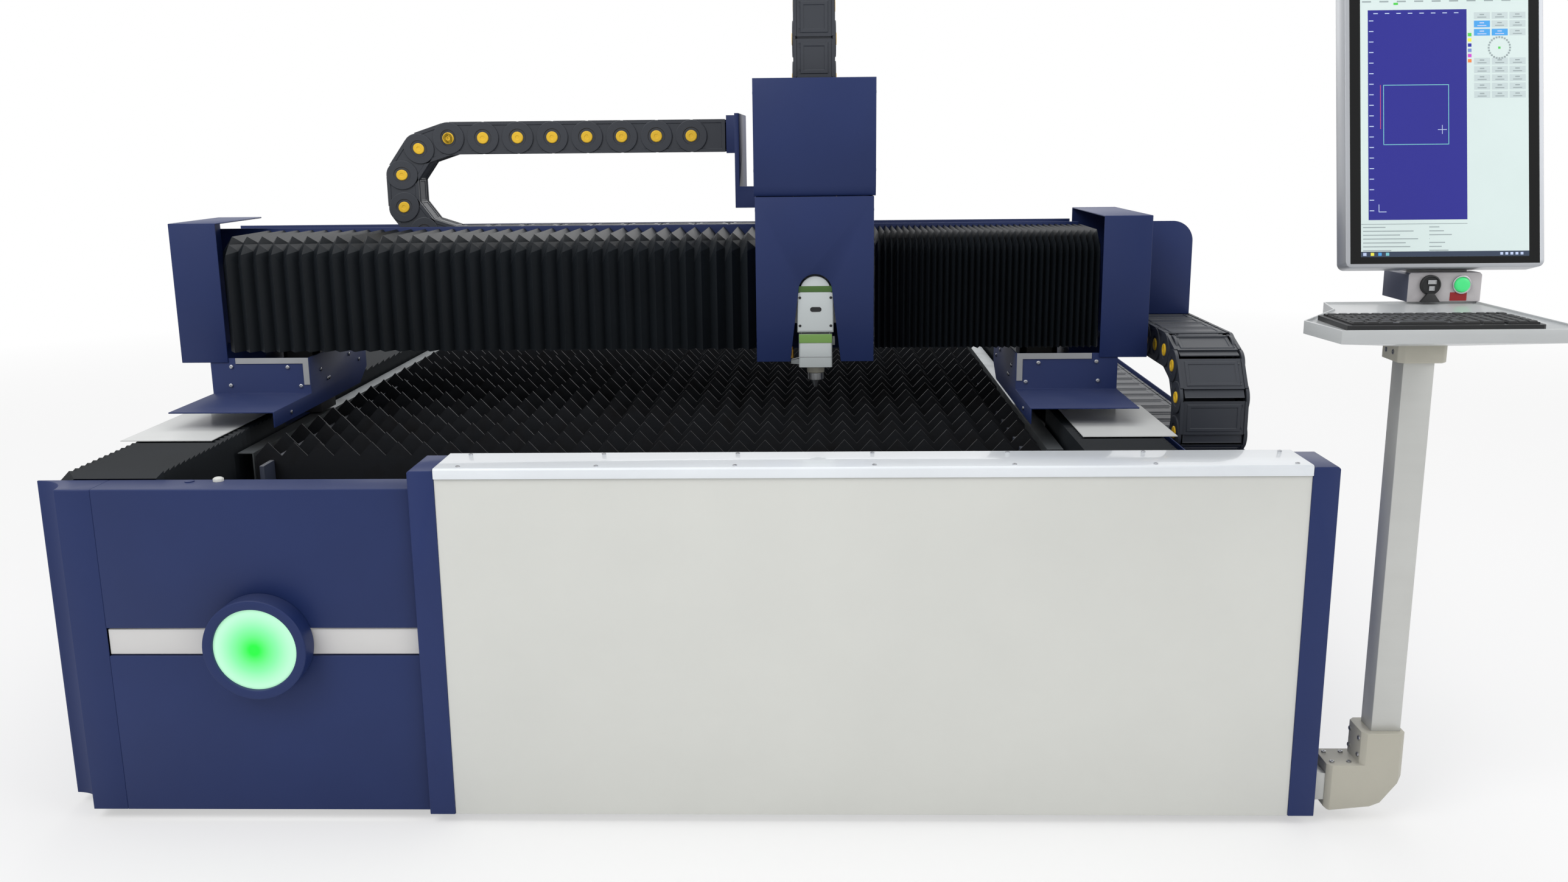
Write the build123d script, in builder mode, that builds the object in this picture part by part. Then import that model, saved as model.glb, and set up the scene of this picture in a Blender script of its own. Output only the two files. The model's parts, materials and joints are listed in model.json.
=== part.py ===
from build123d import *
from math import cos, degrees, radians, sin
import os

os.makedirs("parts", exist_ok=True)

# Gantry laser cutting machine: a low bed with toothed slats, a gantry that runs front to back on
# two covered rails, a carriage that runs across the gantry with the cutting head, and a console.
# Millimetres, +X right across the front, +Y to the back, +Z up, floor at zero. The origin is the
# middle of the whole footprint. Everything below is laid out from the bed's centre line and the
# front face, and bed_x and front_y carry that layout to the origin.

# Bed: the slats' half length sets the bed's width, the rails and everything beside them
slat_half = 840
rail_x = slat_half + 160
bed_half = rail_x + 130
bed_length = 4200
foot_height = 20
side_top = 650
sheet = 3
post_width = 49
post_depth = 127
post_height = 705
trough_width = 174
panel_setback = 15
running = 0.3

# Left front covers, with the light stripe and the lamp
cover_top = 668
corner_width = 138
corner_radius = 70
ledge_depth = 75
stripe_z = 368
stripe_height = 50
stripe_gap = 3
lamp_x = -693
lamp_radius = 98
lens_radius = 79
lamp_depth = 45

# White front panel and its lid
left_post_x = -392
lid_height = 20
lid_top = 709

# Rails, slats and the tray below them
rail_beam_width = 220
rail_beam_top = 560
rail_width = 28
rail_height = 26
rack_size = 20
slat_first = 409
slat_pitch = 396
slat_count = 8
slat_thickness = 3
slat_top = 670
slat_height = 95
tooth_pitch = 56
tooth_height = 30
support_x = slat_half - 34
support_thickness = 10
slat_clearance = 1

# Gantry
gantry_front = 690
gantry_depth = 400
beam_half = rail_x
beam_y = 800
beam_depth = 160
beam_bottom = 830
beam_height = 225
end_gap = 6
end_width = 108
end_bottom = 798
end_top = 1118
saddle_bottom = 612
lip_z = 725
lip_reach = 225
lip_inner = slat_half - 23
lip_outer = rail_x + 49
flap_front = 357

# Bellows
bellows_bottom = 820
bellows_top = 1086
bellows_bevel = 50
bellows_wall = 8
pleat = 18
left_folds = 31
right_folds = 24
rail_cover_inner = rail_x - 110
rail_cover_outer = rail_x + 102
rail_cover_bottom = 560
rail_cover_top = 684
rail_cover_bevel = 24
rail_pleat = 14
front_folds = 20
rear_folds = 34

# Carriage and head
carriage_x = 358
cover_front = 580
cover_half = 132
cover_bottom = 810
cover_seam = 1193
cover_peak = 1419
arch_radius = 37
arch_z = 966
arch_foot = 56
head_width = 80
head_depth = 86
head_bottom = 874
neck_height = 4
lower_head_width = 74
lower_head_bottom = 795
nozzle_tip = 745
head_clearance = 5

# Energy chains
link_pitch = 85
link_height = 79
bend_radius = 126
link_gap = 0.8
plate_width = 9
lid_recess = 4
beam_chain_y = 980
beam_chain_width = 90
beam_chain_z = 1050.5
beam_bend_x = -537
bed_chain_x = 1146
bed_chain_width = 150
bed_chain_z = 566
bed_bend_y = 668
head_chain_width = 94
head_chain_radius = 90

# Console
console_x = 1435
console_y = 47
stub_size = 55
stub_z = 72
column_width = 55
column_depth = 50
coupler_size = 87
coupler_bottom = 892
coupler_top = 925
tray_top = 990
tray_rim = 4
tray_depth = 22
monitor_x = 1492
monitor_width = 353
monitor_height = 570
monitor_depth = 44
monitor_tilt = 12.4
monitor_bottom = 1054
screen_width = 299
screen_height = 531
box_left = 1436
box_width = 132
box_height = 53
box_front = 100
box_depth = 110
button_radius = 13
button_travel = 4

# The footprint's middle
overall_left = -bed_half
overall_right = monitor_x + monitor_width / 2
tray_front = -270
bed_x = -(overall_left + overall_right) / 2
front_y = -(tray_front + bed_length) / 2


def level(z=0):
    """A level plane of the layout: sketch x runs right, sketch y runs back."""
    return Plane(origin=(bed_x, front_y, z))


def facing(y=0):
    """An upright plane seen from the front: sketch x runs right, sketch y runs up."""
    return Plane(origin=(bed_x, front_y + y, 0), x_dir=(1, 0, 0), z_dir=(0, -1, 0))


def across(x=0):
    """An upright plane seen from the right: sketch x runs back, sketch y runs up."""
    return Plane(origin=(bed_x + x, front_y, 0), x_dir=(0, 1, 0), z_dir=(1, 0, 0))


def span(a, b, c, d):
    """Adds to a sketch the rectangle from corner (a, b) to corner (c, d)."""
    with Locations(((a + c) / 2, (b + d) / 2)):
        Rectangle(abs(c - a), abs(d - b))


def block(x0, x1, y0, y1, z0, z1, mode=Mode.ADD):
    """Adds an upright box, or cuts one, given its limits in the layout."""
    with BuildSketch(level(z0)) as base:
        span(x0, y0, x1, y1)
    extrude(base.sketch, amount=z1 - z0, mode=mode)


def frustum(low_outline, low_z, high_outline, high_z):
    """A solid with flat sides between two outlines of one shape, the larger one above."""
    low = [Vector(bed_x + x, front_y + y, low_z) for x, y in low_outline]
    high = [Vector(bed_x + x, front_y + y, high_z) for x, y in high_outline]
    corners = list(zip(low, low[1:] + low[:1], high[1:] + high[:1], high))
    outlines = [low, high] + [list(side) for side in corners]
    return Solid(Shell([Face(Wire.make_polygon(outline, close=True)) for outline in outlines]))


def keep(builder, name):
    """Labels a finished piece and writes it."""
    builder.part.label = name
    export_step(builder.part, f"parts/{name}.step")
    return builder.part


# Bed frame: two box beams under the rails, joined by cross members
beam_in = rail_x - rail_beam_width / 2
beam_out = rail_x + rail_beam_width / 2
frame_front = post_depth
frame_back = bed_length - sheet
frame_bottom = 60
cross_top = 240
cross_width = 120
cross_count = 3
with BuildPart() as bed_frame:
    for side in (-1, 1):
        block(side * beam_in, side * beam_out, frame_front, frame_back, frame_bottom, rail_beam_top)
    for k in range(cross_count):
        y = frame_front + k * (frame_back - frame_front - cross_width) / (cross_count - 1)
        block(-beam_in, beam_in, y, y + cross_width, frame_bottom, cross_top)
keep(bed_frame, "bed_frame")

# Levelling feet: an eight-sided pad and a hexagonal stud under each beam
foot_rows = 4
foot_radius = 45
stud_radius = 12
pad_height = 14
with BuildPart() as levelling_feet:
    for side in (-1, 1):
        for k in range(foot_rows):
            y = frame_front + foot_radius + k * (frame_back - frame_front - 2 * foot_radius) / (foot_rows - 1)
            with BuildSketch(level(0)):
                with Locations((side * rail_x, y)):
                    RegularPolygon(foot_radius, side_count=8)
            extrude(amount=pad_height)
            with BuildSketch(level(pad_height)):
                with Locations((side * rail_x, y)):
                    RegularPolygon(stud_radius, side_count=6)
            extrude(amount=frame_bottom - pad_height)
keep(levelling_feet, "levelling_feet")

# Front posts: folded boxes that stand a little proud of the covers
post_right = bed_half + trough_width
post_left = left_post_x + post_width
with BuildPart() as front_posts:
    for x in (left_post_x, post_right - post_width):
        block(x, x + post_width, 0, post_depth, foot_height, post_height)
    chamfer(front_posts.edges().filter_by(Axis.Y).group_by(Axis.Z)[-1], 4)
keep(front_posts, "front_posts")

# White front panel: a sheet with its four edges folded back, between the posts
panel_right = post_right - post_width
panel_top = lid_top - lid_height
panel_fold = 25
with BuildPart() as front_panel:
    block(post_left, panel_right, 2, 2 + panel_fold, foot_height, panel_top)
    block(post_left + sheet, panel_right - sheet, 2 + sheet, 3 + panel_fold, foot_height + sheet, panel_top - sheet,
          mode=Mode.SUBTRACT)
keep(front_panel, "front_panel")

# Lid over the front panel: front lip, top and a rear flange that drops behind the posts' line
lid_front = -2
lid_sheet = 2
lid_back = post_depth - 1
with BuildPart() as top_cover:
    with BuildSketch(across(post_left)):
        with BuildLine():
            Polyline(
                (lid_front, panel_top), (lid_front, lid_top - 3), (lid_front + 3, lid_top), (lid_back, lid_top),
                (lid_back, panel_top), (lid_back - lid_sheet, panel_top), (lid_back - lid_sheet, lid_top - lid_sheet),
                (lid_front + lid_sheet + 1, lid_top - lid_sheet), (lid_front + lid_sheet, lid_top - lid_sheet - 1),
                (lid_front + lid_sheet, panel_top), close=True)
        make_face()
    extrude(amount=panel_right - post_left)
keep(top_cover, "top_cover")

# Rounded corner column at the front left, with its top ledge
corner_seam = -bed_half + corner_width
cover_bottom_z = foot_height + 2
with BuildPart() as corner_cover:
    with BuildSketch(level(cover_bottom_z)):
        with BuildLine():
            Polyline((corner_seam, panel_setback + ledge_depth), (corner_seam, panel_setback),
                     (-bed_half + corner_radius, panel_setback))
            RadiusArc((-bed_half + corner_radius, panel_setback), (-bed_half, panel_setback + corner_radius),
                      -corner_radius)
            Polyline((-bed_half, panel_setback + corner_radius), (-bed_half, panel_setback + ledge_depth),
                     (corner_seam, panel_setback + ledge_depth))
        make_face()
    extrude(amount=cover_top - cover_bottom_z)
    block(-bed_half + corner_radius, corner_seam + 1, panel_setback + sheet, panel_setback + ledge_depth + 1,
          cover_bottom_z - 1, cover_top - sheet, mode=Mode.SUBTRACT)
    chamfer(corner_cover.faces().sort_by(Axis.Z)[-1].edges().filter_by(GeomType.LINE).filter_by(Axis.X)
            .sort_by(Axis.Y)[0], 2)
keep(corner_cover, "corner_cover")

# Flat covers above and below the light stripe
stripe_low = stripe_z - stripe_height / 2
stripe_high = stripe_z + stripe_height / 2
cover_right = left_post_x
with BuildPart() as upper_cover:
    block(corner_seam, cover_right, panel_setback, panel_setback + ledge_depth, stripe_high + stripe_gap, cover_top)
    block(corner_seam - 1, cover_right + 1, panel_setback + sheet, panel_setback + ledge_depth + 1,
          stripe_high + stripe_gap - 1, cover_top - sheet, mode=Mode.SUBTRACT)
    chamfer(upper_cover.faces().sort_by(Axis.Z)[-1].edges().filter_by(Axis.X).sort_by(Axis.Y)[0], 2)
keep(upper_cover, "upper_cover")

stripe_recess = 8
with BuildPart() as lower_cover:
    block(corner_seam, cover_right, panel_setback, panel_setback + sheet, cover_bottom_z, stripe_low - stripe_gap)
    block(corner_seam, cover_right, panel_setback, panel_setback + stripe_recess + 2 * sheet,
          stripe_low - stripe_gap - sheet, stripe_low - stripe_gap)
    block(corner_seam, cover_right, panel_setback + stripe_recess + sheet, panel_setback + stripe_recess + 2 * sheet,
          stripe_low - stripe_gap, stripe_high + stripe_gap)
keep(lower_cover, "lower_cover")

# The two light bars lie in the groove, either side of the lamp
bar_clearance = 2
with BuildPart() as light_bars:
    for x0, x1 in ((corner_seam + bar_clearance, lamp_x - lamp_radius + 16),
                   (lamp_x + lamp_radius - 16, cover_right - bar_clearance)):
        block(x0, x1, panel_setback + 3, panel_setback + stripe_recess + sheet, stripe_low, stripe_high)
keep(light_bars, "light_bars")

# Lamp: a deep ring on the covers with a round lens sunk a little way in it
lens_clearance = 0.4
lens_sink = 4
with BuildPart() as lamp_bezel:
    with BuildSketch(facing(panel_setback)):
        with Locations((lamp_x, stripe_z)):
            Circle(lamp_radius)
            Circle(lens_radius + lens_clearance, mode=Mode.SUBTRACT)
    extrude(amount=lamp_depth)
keep(lamp_bezel, "lamp_bezel")

with BuildPart() as lamp_lens:
    with BuildSketch(facing(panel_setback)):
        with Locations((lamp_x, stripe_z)):
            Circle(lens_radius)
    extrude(amount=lamp_depth - lens_sink)
keep(lamp_lens, "lamp_lens")

# Body panels: plain sheets around the sides and back, the chain's trough and the rear deck
side_front = panel_setback + ledge_depth
trough_bottom = bed_chain_z - link_height / 2 - running - sheet
slat_last = slat_first + (slat_count - 1) * slat_pitch
deck_front = slat_last + 238
deck_z = rail_beam_top - 20
inner_back = bed_length - sheet
with BuildPart() as body_panels:
    block(-bed_half, -bed_half + sheet, side_front, inner_back, cover_bottom_z, side_top)
    block(bed_half - sheet, bed_half, post_depth, inner_back, trough_bottom, side_top)
    block(bed_half - sheet, post_right, post_depth, inner_back, trough_bottom, trough_bottom + sheet)
    block(post_right - sheet, post_right, post_depth, inner_back, cover_bottom_z, trough_bottom + 90)
    block(-bed_half, post_right, inner_back, bed_length, cover_bottom_z, side_top)
    block(-beam_in, beam_in, deck_front, inner_back, deck_z, deck_z + sheet)
keep(body_panels, "body_panels")

# Rails on the beams, each with its rack beside it
rail_start = frame_front + 20
rail_end = frame_back - 20
rack_x = beam_in + 30
with BuildPart() as gantry_rails:
    for side in (-1, 1):
        block(side * rail_x - rail_width / 2, side * rail_x + rail_width / 2, rail_start, rail_end, rail_beam_top,
              rail_beam_top + rail_height)
        block(side * rack_x, side * (rack_x + rack_size), rail_start, rail_end, rail_beam_top,
              rail_beam_top + rack_size)
keep(gantry_rails, "gantry_rails")

# Notched supports that carry the slats
slat_bottom = slat_top - slat_height
support_end = 60
support_low = cross_top + 200
notch_width = slat_thickness + 2 * slat_clearance
slat_ys = [slat_first + k * slat_pitch for k in range(slat_count)]
with BuildPart() as slat_supports:
    for side in (-1, 1):
        with BuildSketch(across(side * support_x - support_thickness / 2)):
            span(slat_first - support_end, support_low, slat_last + support_end, slat_top - tooth_height - 8)
            for y in slat_ys:
                with Locations((y, slat_bottom + slat_height / 2)):
                    Rectangle(notch_width, slat_height, mode=Mode.SUBTRACT)
        extrude(amount=support_thickness)
        block(side * (support_x + support_thickness / 2), side * beam_in, slat_first, slat_last, support_low,
              support_low + support_thickness)
keep(slat_supports, "slat_supports")

# Slats: sawtooth strips that stand in the notches
tooth_count = round(2 * slat_half / tooth_pitch)
slat_start = -tooth_count * tooth_pitch / 2
saw = [(slat_start, slat_top - tooth_height)]
for k in range(tooth_count):
    saw.append((slat_start + (k + 0.5) * tooth_pitch, slat_top))
    saw.append((slat_start + (k + 1) * tooth_pitch, slat_top - tooth_height))
saw += [(-slat_start, slat_bottom), (slat_start, slat_bottom)]
with BuildPart() as slats:
    for y in slat_ys:
        with BuildSketch(facing(y - slat_thickness / 2)):
            with BuildLine():
                Polyline(*saw, close=True)
            make_face()
        extrude(amount=-slat_thickness)
keep(slats, "slats")

# Galvanised guards along both long edges of the slats
guard_x = slat_half + 6
guard_z = slat_top - 25
with BuildPart() as edge_guards:
    for side in (-1, 1):
        block(side * guard_x, side * (guard_x + 3), slat_first, slat_last, rail_beam_top - 20, guard_z)
        block(side * guard_x, side * (guard_x + 34), slat_first, slat_last, guard_z, guard_z + 2)
        block(side * (guard_x + 3), side * beam_in, slat_first, slat_last, rail_beam_top - 20, rail_beam_top - 17)
keep(edge_guards, "edge_guards")

# Scrap tray on the cross members, open on top
tray_wall = 4
scrap_height = 60
with BuildPart() as scrap_tray:
    block(-beam_in + 20, beam_in - 20, slat_first, slat_last, cross_top, cross_top + scrap_height)
    block(-beam_in + 20 + tray_wall, beam_in - 20 - tray_wall, slat_first + tray_wall, slat_last - tray_wall,
          cross_top + tray_wall, cross_top + scrap_height + 1, mode=Mode.SUBTRACT)
keep(scrap_tray, "scrap_tray")


def pleated(plane_at, outlines, inner, ends, folds):
    """Adds a pleated cover: ridge and valley outlines in turn along its run, less one hollow.

    plane_at gives the section plane at a place along the run, outlines are the ridge and the
    valley, inner is the hollow's outline, and ends are where the run starts and stops."""
    start, stop = ends
    steps = 2 * folds
    sections = []
    for k in range(steps + 1):
        with BuildSketch(plane_at(start + (stop - start) * k / steps)) as section:
            with BuildLine():
                Polyline(*outlines[(k + 1) % 2], close=True)
            make_face()
        sections.append(section.sketch.faces()[0])
    with BuildPart(mode=Mode.PRIVATE) as cover:
        loft(sections, ruled=True)
        with BuildSketch(plane_at(start - 1)) as hollow:
            with BuildLine():
                Polyline(*inner, close=True)
            make_face()
        extrude(hollow.sketch, amount=stop - start + 2, mode=Mode.SUBTRACT)
    add(cover.part)


def beam_outline(inset):
    """The beam cover's outer section, drawn in from the ridges by inset: front, bevel and top."""
    y0 = gantry_front + inset
    z1 = bellows_top - inset
    b = bellows_bevel
    return [(y0, bellows_bottom), (y0, z1 - b), (y0 + b, z1), (bellows_back, z1), (bellows_back, bellows_bottom)]


bellows_back = beam_y + beam_depth - running
hollow_y = gantry_front + pleat + bellows_wall
hollow_z = bellows_top - pleat - bellows_wall
beam_hollow = [(hollow_y, bellows_bottom - 1), (hollow_y, hollow_z - bellows_bevel), (hollow_y + bellows_bevel, hollow_z),
               (bellows_back + 1, hollow_z), (bellows_back + 1, bellows_bottom - 1)]
carriage_left = carriage_x - cover_half - 4
carriage_right = carriage_x + cover_half + 4
for name, ends, folds in (("left_beam_bellows", (-beam_half - end_gap, carriage_left), left_folds),
                          ("right_beam_bellows", (carriage_right, beam_half + end_gap), right_folds)):
    with BuildPart() as beam_bellows:
        pleated(across, (beam_outline(0), beam_outline(pleat)), beam_hollow, ends, folds)
    keep(beam_bellows, name)


def rail_cover(side, start, stop, folds):
    """Adds one rail's pleated cover: a zigzag roof on two walls, bevelled along its outer edge."""
    half_fold = (stop - start) / (2 * folds)
    base_z = rail_cover_bottom + running
    roof = [(start, base_z)]
    for k in range(2 * folds + 1):
        roof.append((start + k * half_fold, rail_cover_top - rail_pleat * ((k + 1) % 2)))
    roof.append((stop, base_z))
    with BuildSketch(across(side * rail_cover_inner)) as profile:
        with BuildLine():
            Polyline(*roof, close=True)
        make_face()
    extrude(profile.sketch, amount=side * (rail_cover_outer - rail_cover_inner))
    block(side * (rail_cover_inner + bellows_wall), side * (rail_cover_outer - bellows_wall), start - 1, stop + 1,
          base_z - 1, rail_cover_top - rail_pleat - bellows_wall, mode=Mode.SUBTRACT)
    with BuildSketch(facing(start - 1)) as bevel:
        with BuildLine():
            Polyline((side * (rail_cover_outer - rail_cover_bevel), rail_cover_top),
                     (side * (rail_cover_outer + 1), rail_cover_top + 1),
                     (side * rail_cover_outer, rail_cover_top - rail_cover_bevel), close=True)
        make_face()
    extrude(bevel.sketch, amount=start - stop - 2, mode=Mode.SUBTRACT)


saddle_front = gantry_front + 30
saddle_back = gantry_front + gantry_depth - 20
for name, starts, stop, folds in (
        ("front_rail_bellows", (side_front + running, post_depth + 6), saddle_front - running, front_folds),
        ("rear_rail_bellows", (saddle_back + running, saddle_back + running), inner_back - running, rear_folds)):
    with BuildPart() as rail_bellows:
        for side, start in zip((-1, 1), starts):
            rail_cover(side, start, stop, folds)
    keep(rail_bellows, name)


# Gantry: beam, saddles on the rails, and the box covers over the beam's ends
beam_top = beam_bottom + beam_height
gantry_back_y = gantry_front + gantry_depth
with BuildPart() as gantry_beam:
    block(-beam_half, beam_half, beam_y, beam_y + beam_depth, beam_bottom, beam_top)
    fillet(gantry_beam.edges().filter_by(Axis.X), 10)
keep(gantry_beam, "gantry_beam")

block_bottom = rail_beam_top + 8
block_top = saddle_bottom
block_length = 110
block_width = 70
with BuildPart() as rail_blocks:
    for side in (-1, 1):
        for y in (saddle_front + 5, saddle_back - 5 - block_length):
            with BuildSketch(facing(y)):
                span(side * rail_x - block_width / 2, block_bottom, side * rail_x + block_width / 2, block_top)
            extrude(amount=-block_length)
            block(side * rail_x - rail_width / 2 - running, side * rail_x + rail_width / 2 + running, y - 1,
                  y + block_length + 1, block_bottom - 1, rail_beam_top + rail_height + running, mode=Mode.SUBTRACT)
keep(rail_blocks, "rail_blocks")

saddle_width = 96
saddle_top_front = beam_y - 10
saddle_top_back = beam_y + beam_depth + 10
with BuildPart() as gantry_saddles:
    for side in (-1, 1):
        with BuildSketch(across(side * rail_x - saddle_width / 2)):
            with BuildLine():
                Polyline((saddle_front, saddle_bottom), (saddle_back, saddle_bottom), (saddle_back, saddle_bottom + 60),
                         (saddle_top_back, beam_bottom), (saddle_top_front, beam_bottom),
                         (saddle_front, saddle_bottom + 60), close=True)
            make_face()
        extrude(amount=saddle_width)
keep(gantry_saddles, "gantry_saddles")

# The left one is cut away at the back, where the cross chain's loop passes at the end of its travel
end_x0 = beam_half + end_gap
end_x1 = end_x0 + end_width
tray_y0 = beam_y + beam_depth
tray_y1 = gantry_back_y - 2
tray_z0 = beam_chain_z - link_height / 2 - running - sheet
tray_z1 = bellows_top + 4
with BuildPart() as end_covers:
    for side in (-1, 1):
        block(side * end_x0, side * end_x1, gantry_front, gantry_back_y, end_bottom, end_top)
        block(side * (end_x0 - 1), side * (end_x1 - sheet), gantry_front + sheet, gantry_back_y - sheet,
              end_bottom - 1, end_top - sheet, mode=Mode.SUBTRACT)
    block(-end_x1 - 1, -end_x0 + 1, tray_y0, gantry_back_y + 1, tray_z0, end_top + 1, mode=Mode.SUBTRACT)
keep(end_covers, "end_covers")

# Tray behind the beam, for the cross chain
with BuildPart() as beam_tray:
    block(-end_x1, beam_half, tray_y0, tray_y1, tray_z0, tray_z1)
    block(-end_x1 - 1, beam_half + 1, tray_y0 + sheet, tray_y1 - sheet, tray_z0 + sheet, tray_z1 + 1,
          mode=Mode.SUBTRACT)
keep(beam_tray, "beam_tray")

# Side brackets: the upright plate, the lip over the rail cover and the inner side plate
bracket_top = 808
flange_bottom = 690
plate_front = gantry_front + sheet
with BuildPart() as side_brackets:
    for side in (-1, 1):
        block(side * lip_inner, side * lip_outer, plate_front, plate_front + sheet, lip_z - sheet, bracket_top)
        block(side * lip_inner, side * lip_outer, gantry_front - lip_reach, plate_front + sheet, lip_z - sheet, lip_z)
        with BuildSketch(across(lip_inner if side > 0 else -lip_inner - sheet)):
            with BuildLine():
                Polyline((gantry_front - lip_reach, lip_z), (plate_front, lip_z), (plate_front, bracket_top),
                         (gantry_back_y - 40, bracket_top), (gantry_back_y, bracket_top - 40),
                         (gantry_back_y, lip_z), (gantry_back_y - 60, flange_bottom),
                         (gantry_front - lip_reach, flange_bottom), close=True)
            make_face()
        extrude(amount=sheet)
keep(side_brackets, "side_brackets")

# Pale seal strips on the front of each bracket
seal_width = 13
with BuildPart() as seal_strips:
    for side in (-1, 1):
        y0 = plate_front - 2
        block(side * (lip_inner + 2), side * (lip_outer - 60), y0, plate_front, bracket_top - seal_width, bracket_top)
        block(side * (lip_inner + 2), side * (lip_inner + 2 + seal_width), y0, plate_front, lip_z + 20,
              bracket_top - seal_width)
keep(seal_strips, "seal_strips")

# Stiff white flaps that lie over the rail covers in front of the gantry
flap_z = rail_cover_top + 2 * running
flap_sheet = 1.5
with BuildPart() as cover_flaps:
    for side in (-1, 1):
        block(side * (rail_cover_inner + 20), side * (rail_cover_outer + 2), flap_front, gantry_front - 2, flap_z,
              flap_z + flap_sheet)
        block(side * (rail_cover_inner + 40), side * (lip_outer - 9), gantry_front - 40, gantry_front - 2,
              flap_z + flap_sheet, lip_z - sheet)
keep(cover_flaps, "cover_flaps")

# Linear rails on the front of the beam, with the rack between them
beam_rail_z = (beam_bottom + 40, beam_top - 40)
rack_z = (beam_bottom + beam_top) / 2
with BuildPart() as beam_rails:
    for z in beam_rail_z:
        block(-beam_half + 20, beam_half - 20, beam_y - 20, beam_y, z - 12, z + 12)
    block(-beam_half + 20, beam_half - 20, beam_y - 18, beam_y, rack_z - 10, rack_z + 10)
keep(beam_rails, "beam_rails")

# Drive motors on their gear boxes, between the slats' ends and the saddles
motor_size = 90
motor_height = 110
motor_x = slat_half + 8 + motor_size / 2
motor_y = beam_y + beam_depth / 2
gear_bottom = saddle_bottom + 40
gear_height = 48
with BuildPart() as gantry_motors:
    for side in (-1, 1):
        block(side * (motor_x - motor_size / 2), side * (rail_x - saddle_width / 2), motor_y - 50, motor_y + 50,
              gear_bottom, gear_bottom + gear_height)
        with BuildSketch(level(gear_bottom + gear_height)):
            with Locations((side * motor_x, motor_y)):
                Rectangle(motor_size, motor_size)
                chamfer(vertices(), 14)
        extrude(amount=motor_height)
keep(gantry_motors, "gantry_motors")

# Upright arm at the right end that carries the bed chain's moving end
arm_x0 = beam_half + end_gap + end_width
arm_x1 = bed_chain_x + bed_chain_width - 8
arm_y = 1000
upper_run_z = bed_chain_z + 2 * bend_radius
arm_bottom = upper_run_z + link_height / 2
arm_top = 1087
with BuildPart() as chain_arm:
    with BuildSketch(facing(arm_y)):
        span(arm_x0, arm_bottom, arm_x1, arm_top)
        fillet(vertices().group_by(Axis.Y)[-1].sort_by(Axis.X)[-1], 50)
    extrude(amount=-4)
    block(arm_x0, arm_x1, arm_y, gantry_back_y, arm_bottom, arm_bottom + 4)
keep(chain_arm, "chain_arm")


def link_section(width):
    """A chain link's cross section: two side plates with a recessed lid and floor between them."""
    h = link_height / 2
    w = width / 2
    p = plate_width
    r = lid_recess
    return [(-w, -h), (-w + p, -h), (-w + p, -h + r), (w - p, -h + r), (w - p, -h), (w, -h),
            (w, h), (w - p, h), (w - p, h - r), (-w + p, h - r), (-w + p, h), (-w, h)]


def closed_section(width):
    """The plain outline of a link that lies in a trough or under a cover."""
    h = link_height / 2
    w = width / 2
    return [(-w, -h), (w, -h), (w, h), (-w, h)]


def straight_run(section_plane, outline, first, count):
    """Links in line: each one a prism between two pins, with a hair gap to the next."""
    with BuildPart() as run:
        for k in range(count):
            with BuildSketch(section_plane(first + k * link_pitch + link_gap / 2)):
                with BuildLine():
                    Polyline(*outline, close=True)
                make_face()
            extrude(amount=link_pitch - link_gap)
    return run


def bend_run(centre_plane, width, radius, turn, links):
    """Adds links around a bend. centre_plane's axes lie in the bend, with its origin at the
    centre, turn is the first pin's angle, and each link is mitred to the next."""
    step = 180 / links
    mitre = link_height / 2 / cos(radians(step / 2))
    inner = radius - mitre
    outer = radius + link_height / 2
    gap = degrees(link_gap / radius)
    for k in range(links):
        a0 = radians(turn + k * step + gap / 2)
        a1 = radians(turn + (k + 1) * step - gap / 2)
        with BuildSketch(centre_plane) as link:
            with BuildLine():
                Polyline((inner * cos(a0), inner * sin(a0)), (outer * cos(a0), outer * sin(a0)),
                         (outer * cos(a1), outer * sin(a1)), (inner * cos(a1), inner * sin(a1)), close=True)
            make_face()
        extrude(link.sketch, amount=width)


# Cross chain: lower run in the tray, bend at the left, upper run to the carriage
bend_links = 5
beam_chain_mid = beam_chain_y + beam_chain_width / 2


def beam_chain_section(z):
    """Section planes across the cross chain at height z."""
    return lambda x: Plane(origin=(bed_x + x, front_y + beam_chain_mid, z), x_dir=(0, 1, 0), z_dir=(1, 0, 0))


beam_lower_links = 9
beam_upper_z = beam_chain_z + 2 * bend_radius
lower = straight_run(beam_chain_section(beam_chain_z), closed_section(beam_chain_width), beam_bend_x, beam_lower_links)
keep(lower, "beam_chain_lower")
beam_upper_links = 8
upper = straight_run(beam_chain_section(beam_upper_z), link_section(beam_chain_width), beam_bend_x, beam_upper_links)
keep(upper, "beam_chain_upper")
with BuildPart() as beam_chain_bend:
    bend_run(Plane(origin=(bed_x + beam_bend_x, front_y + beam_chain_y + beam_chain_width, beam_chain_z + bend_radius),
                   x_dir=(1, 0, 0), z_dir=(0, -1, 0)), beam_chain_width, bend_radius, 90, bend_links)
keep(beam_chain_bend, "beam_chain_bend")

# Bed chain: lower run in the trough, bend at the front, upper run to the gantry's arm
bed_chain_mid = bed_chain_x + bed_chain_width / 2


def bed_chain_section(z):
    """Section planes across the bed chain at height z."""
    return lambda y: Plane(origin=(bed_x + bed_chain_mid, front_y + y, z), x_dir=(-1, 0, 0), z_dir=(0, 1, 0))


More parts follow.
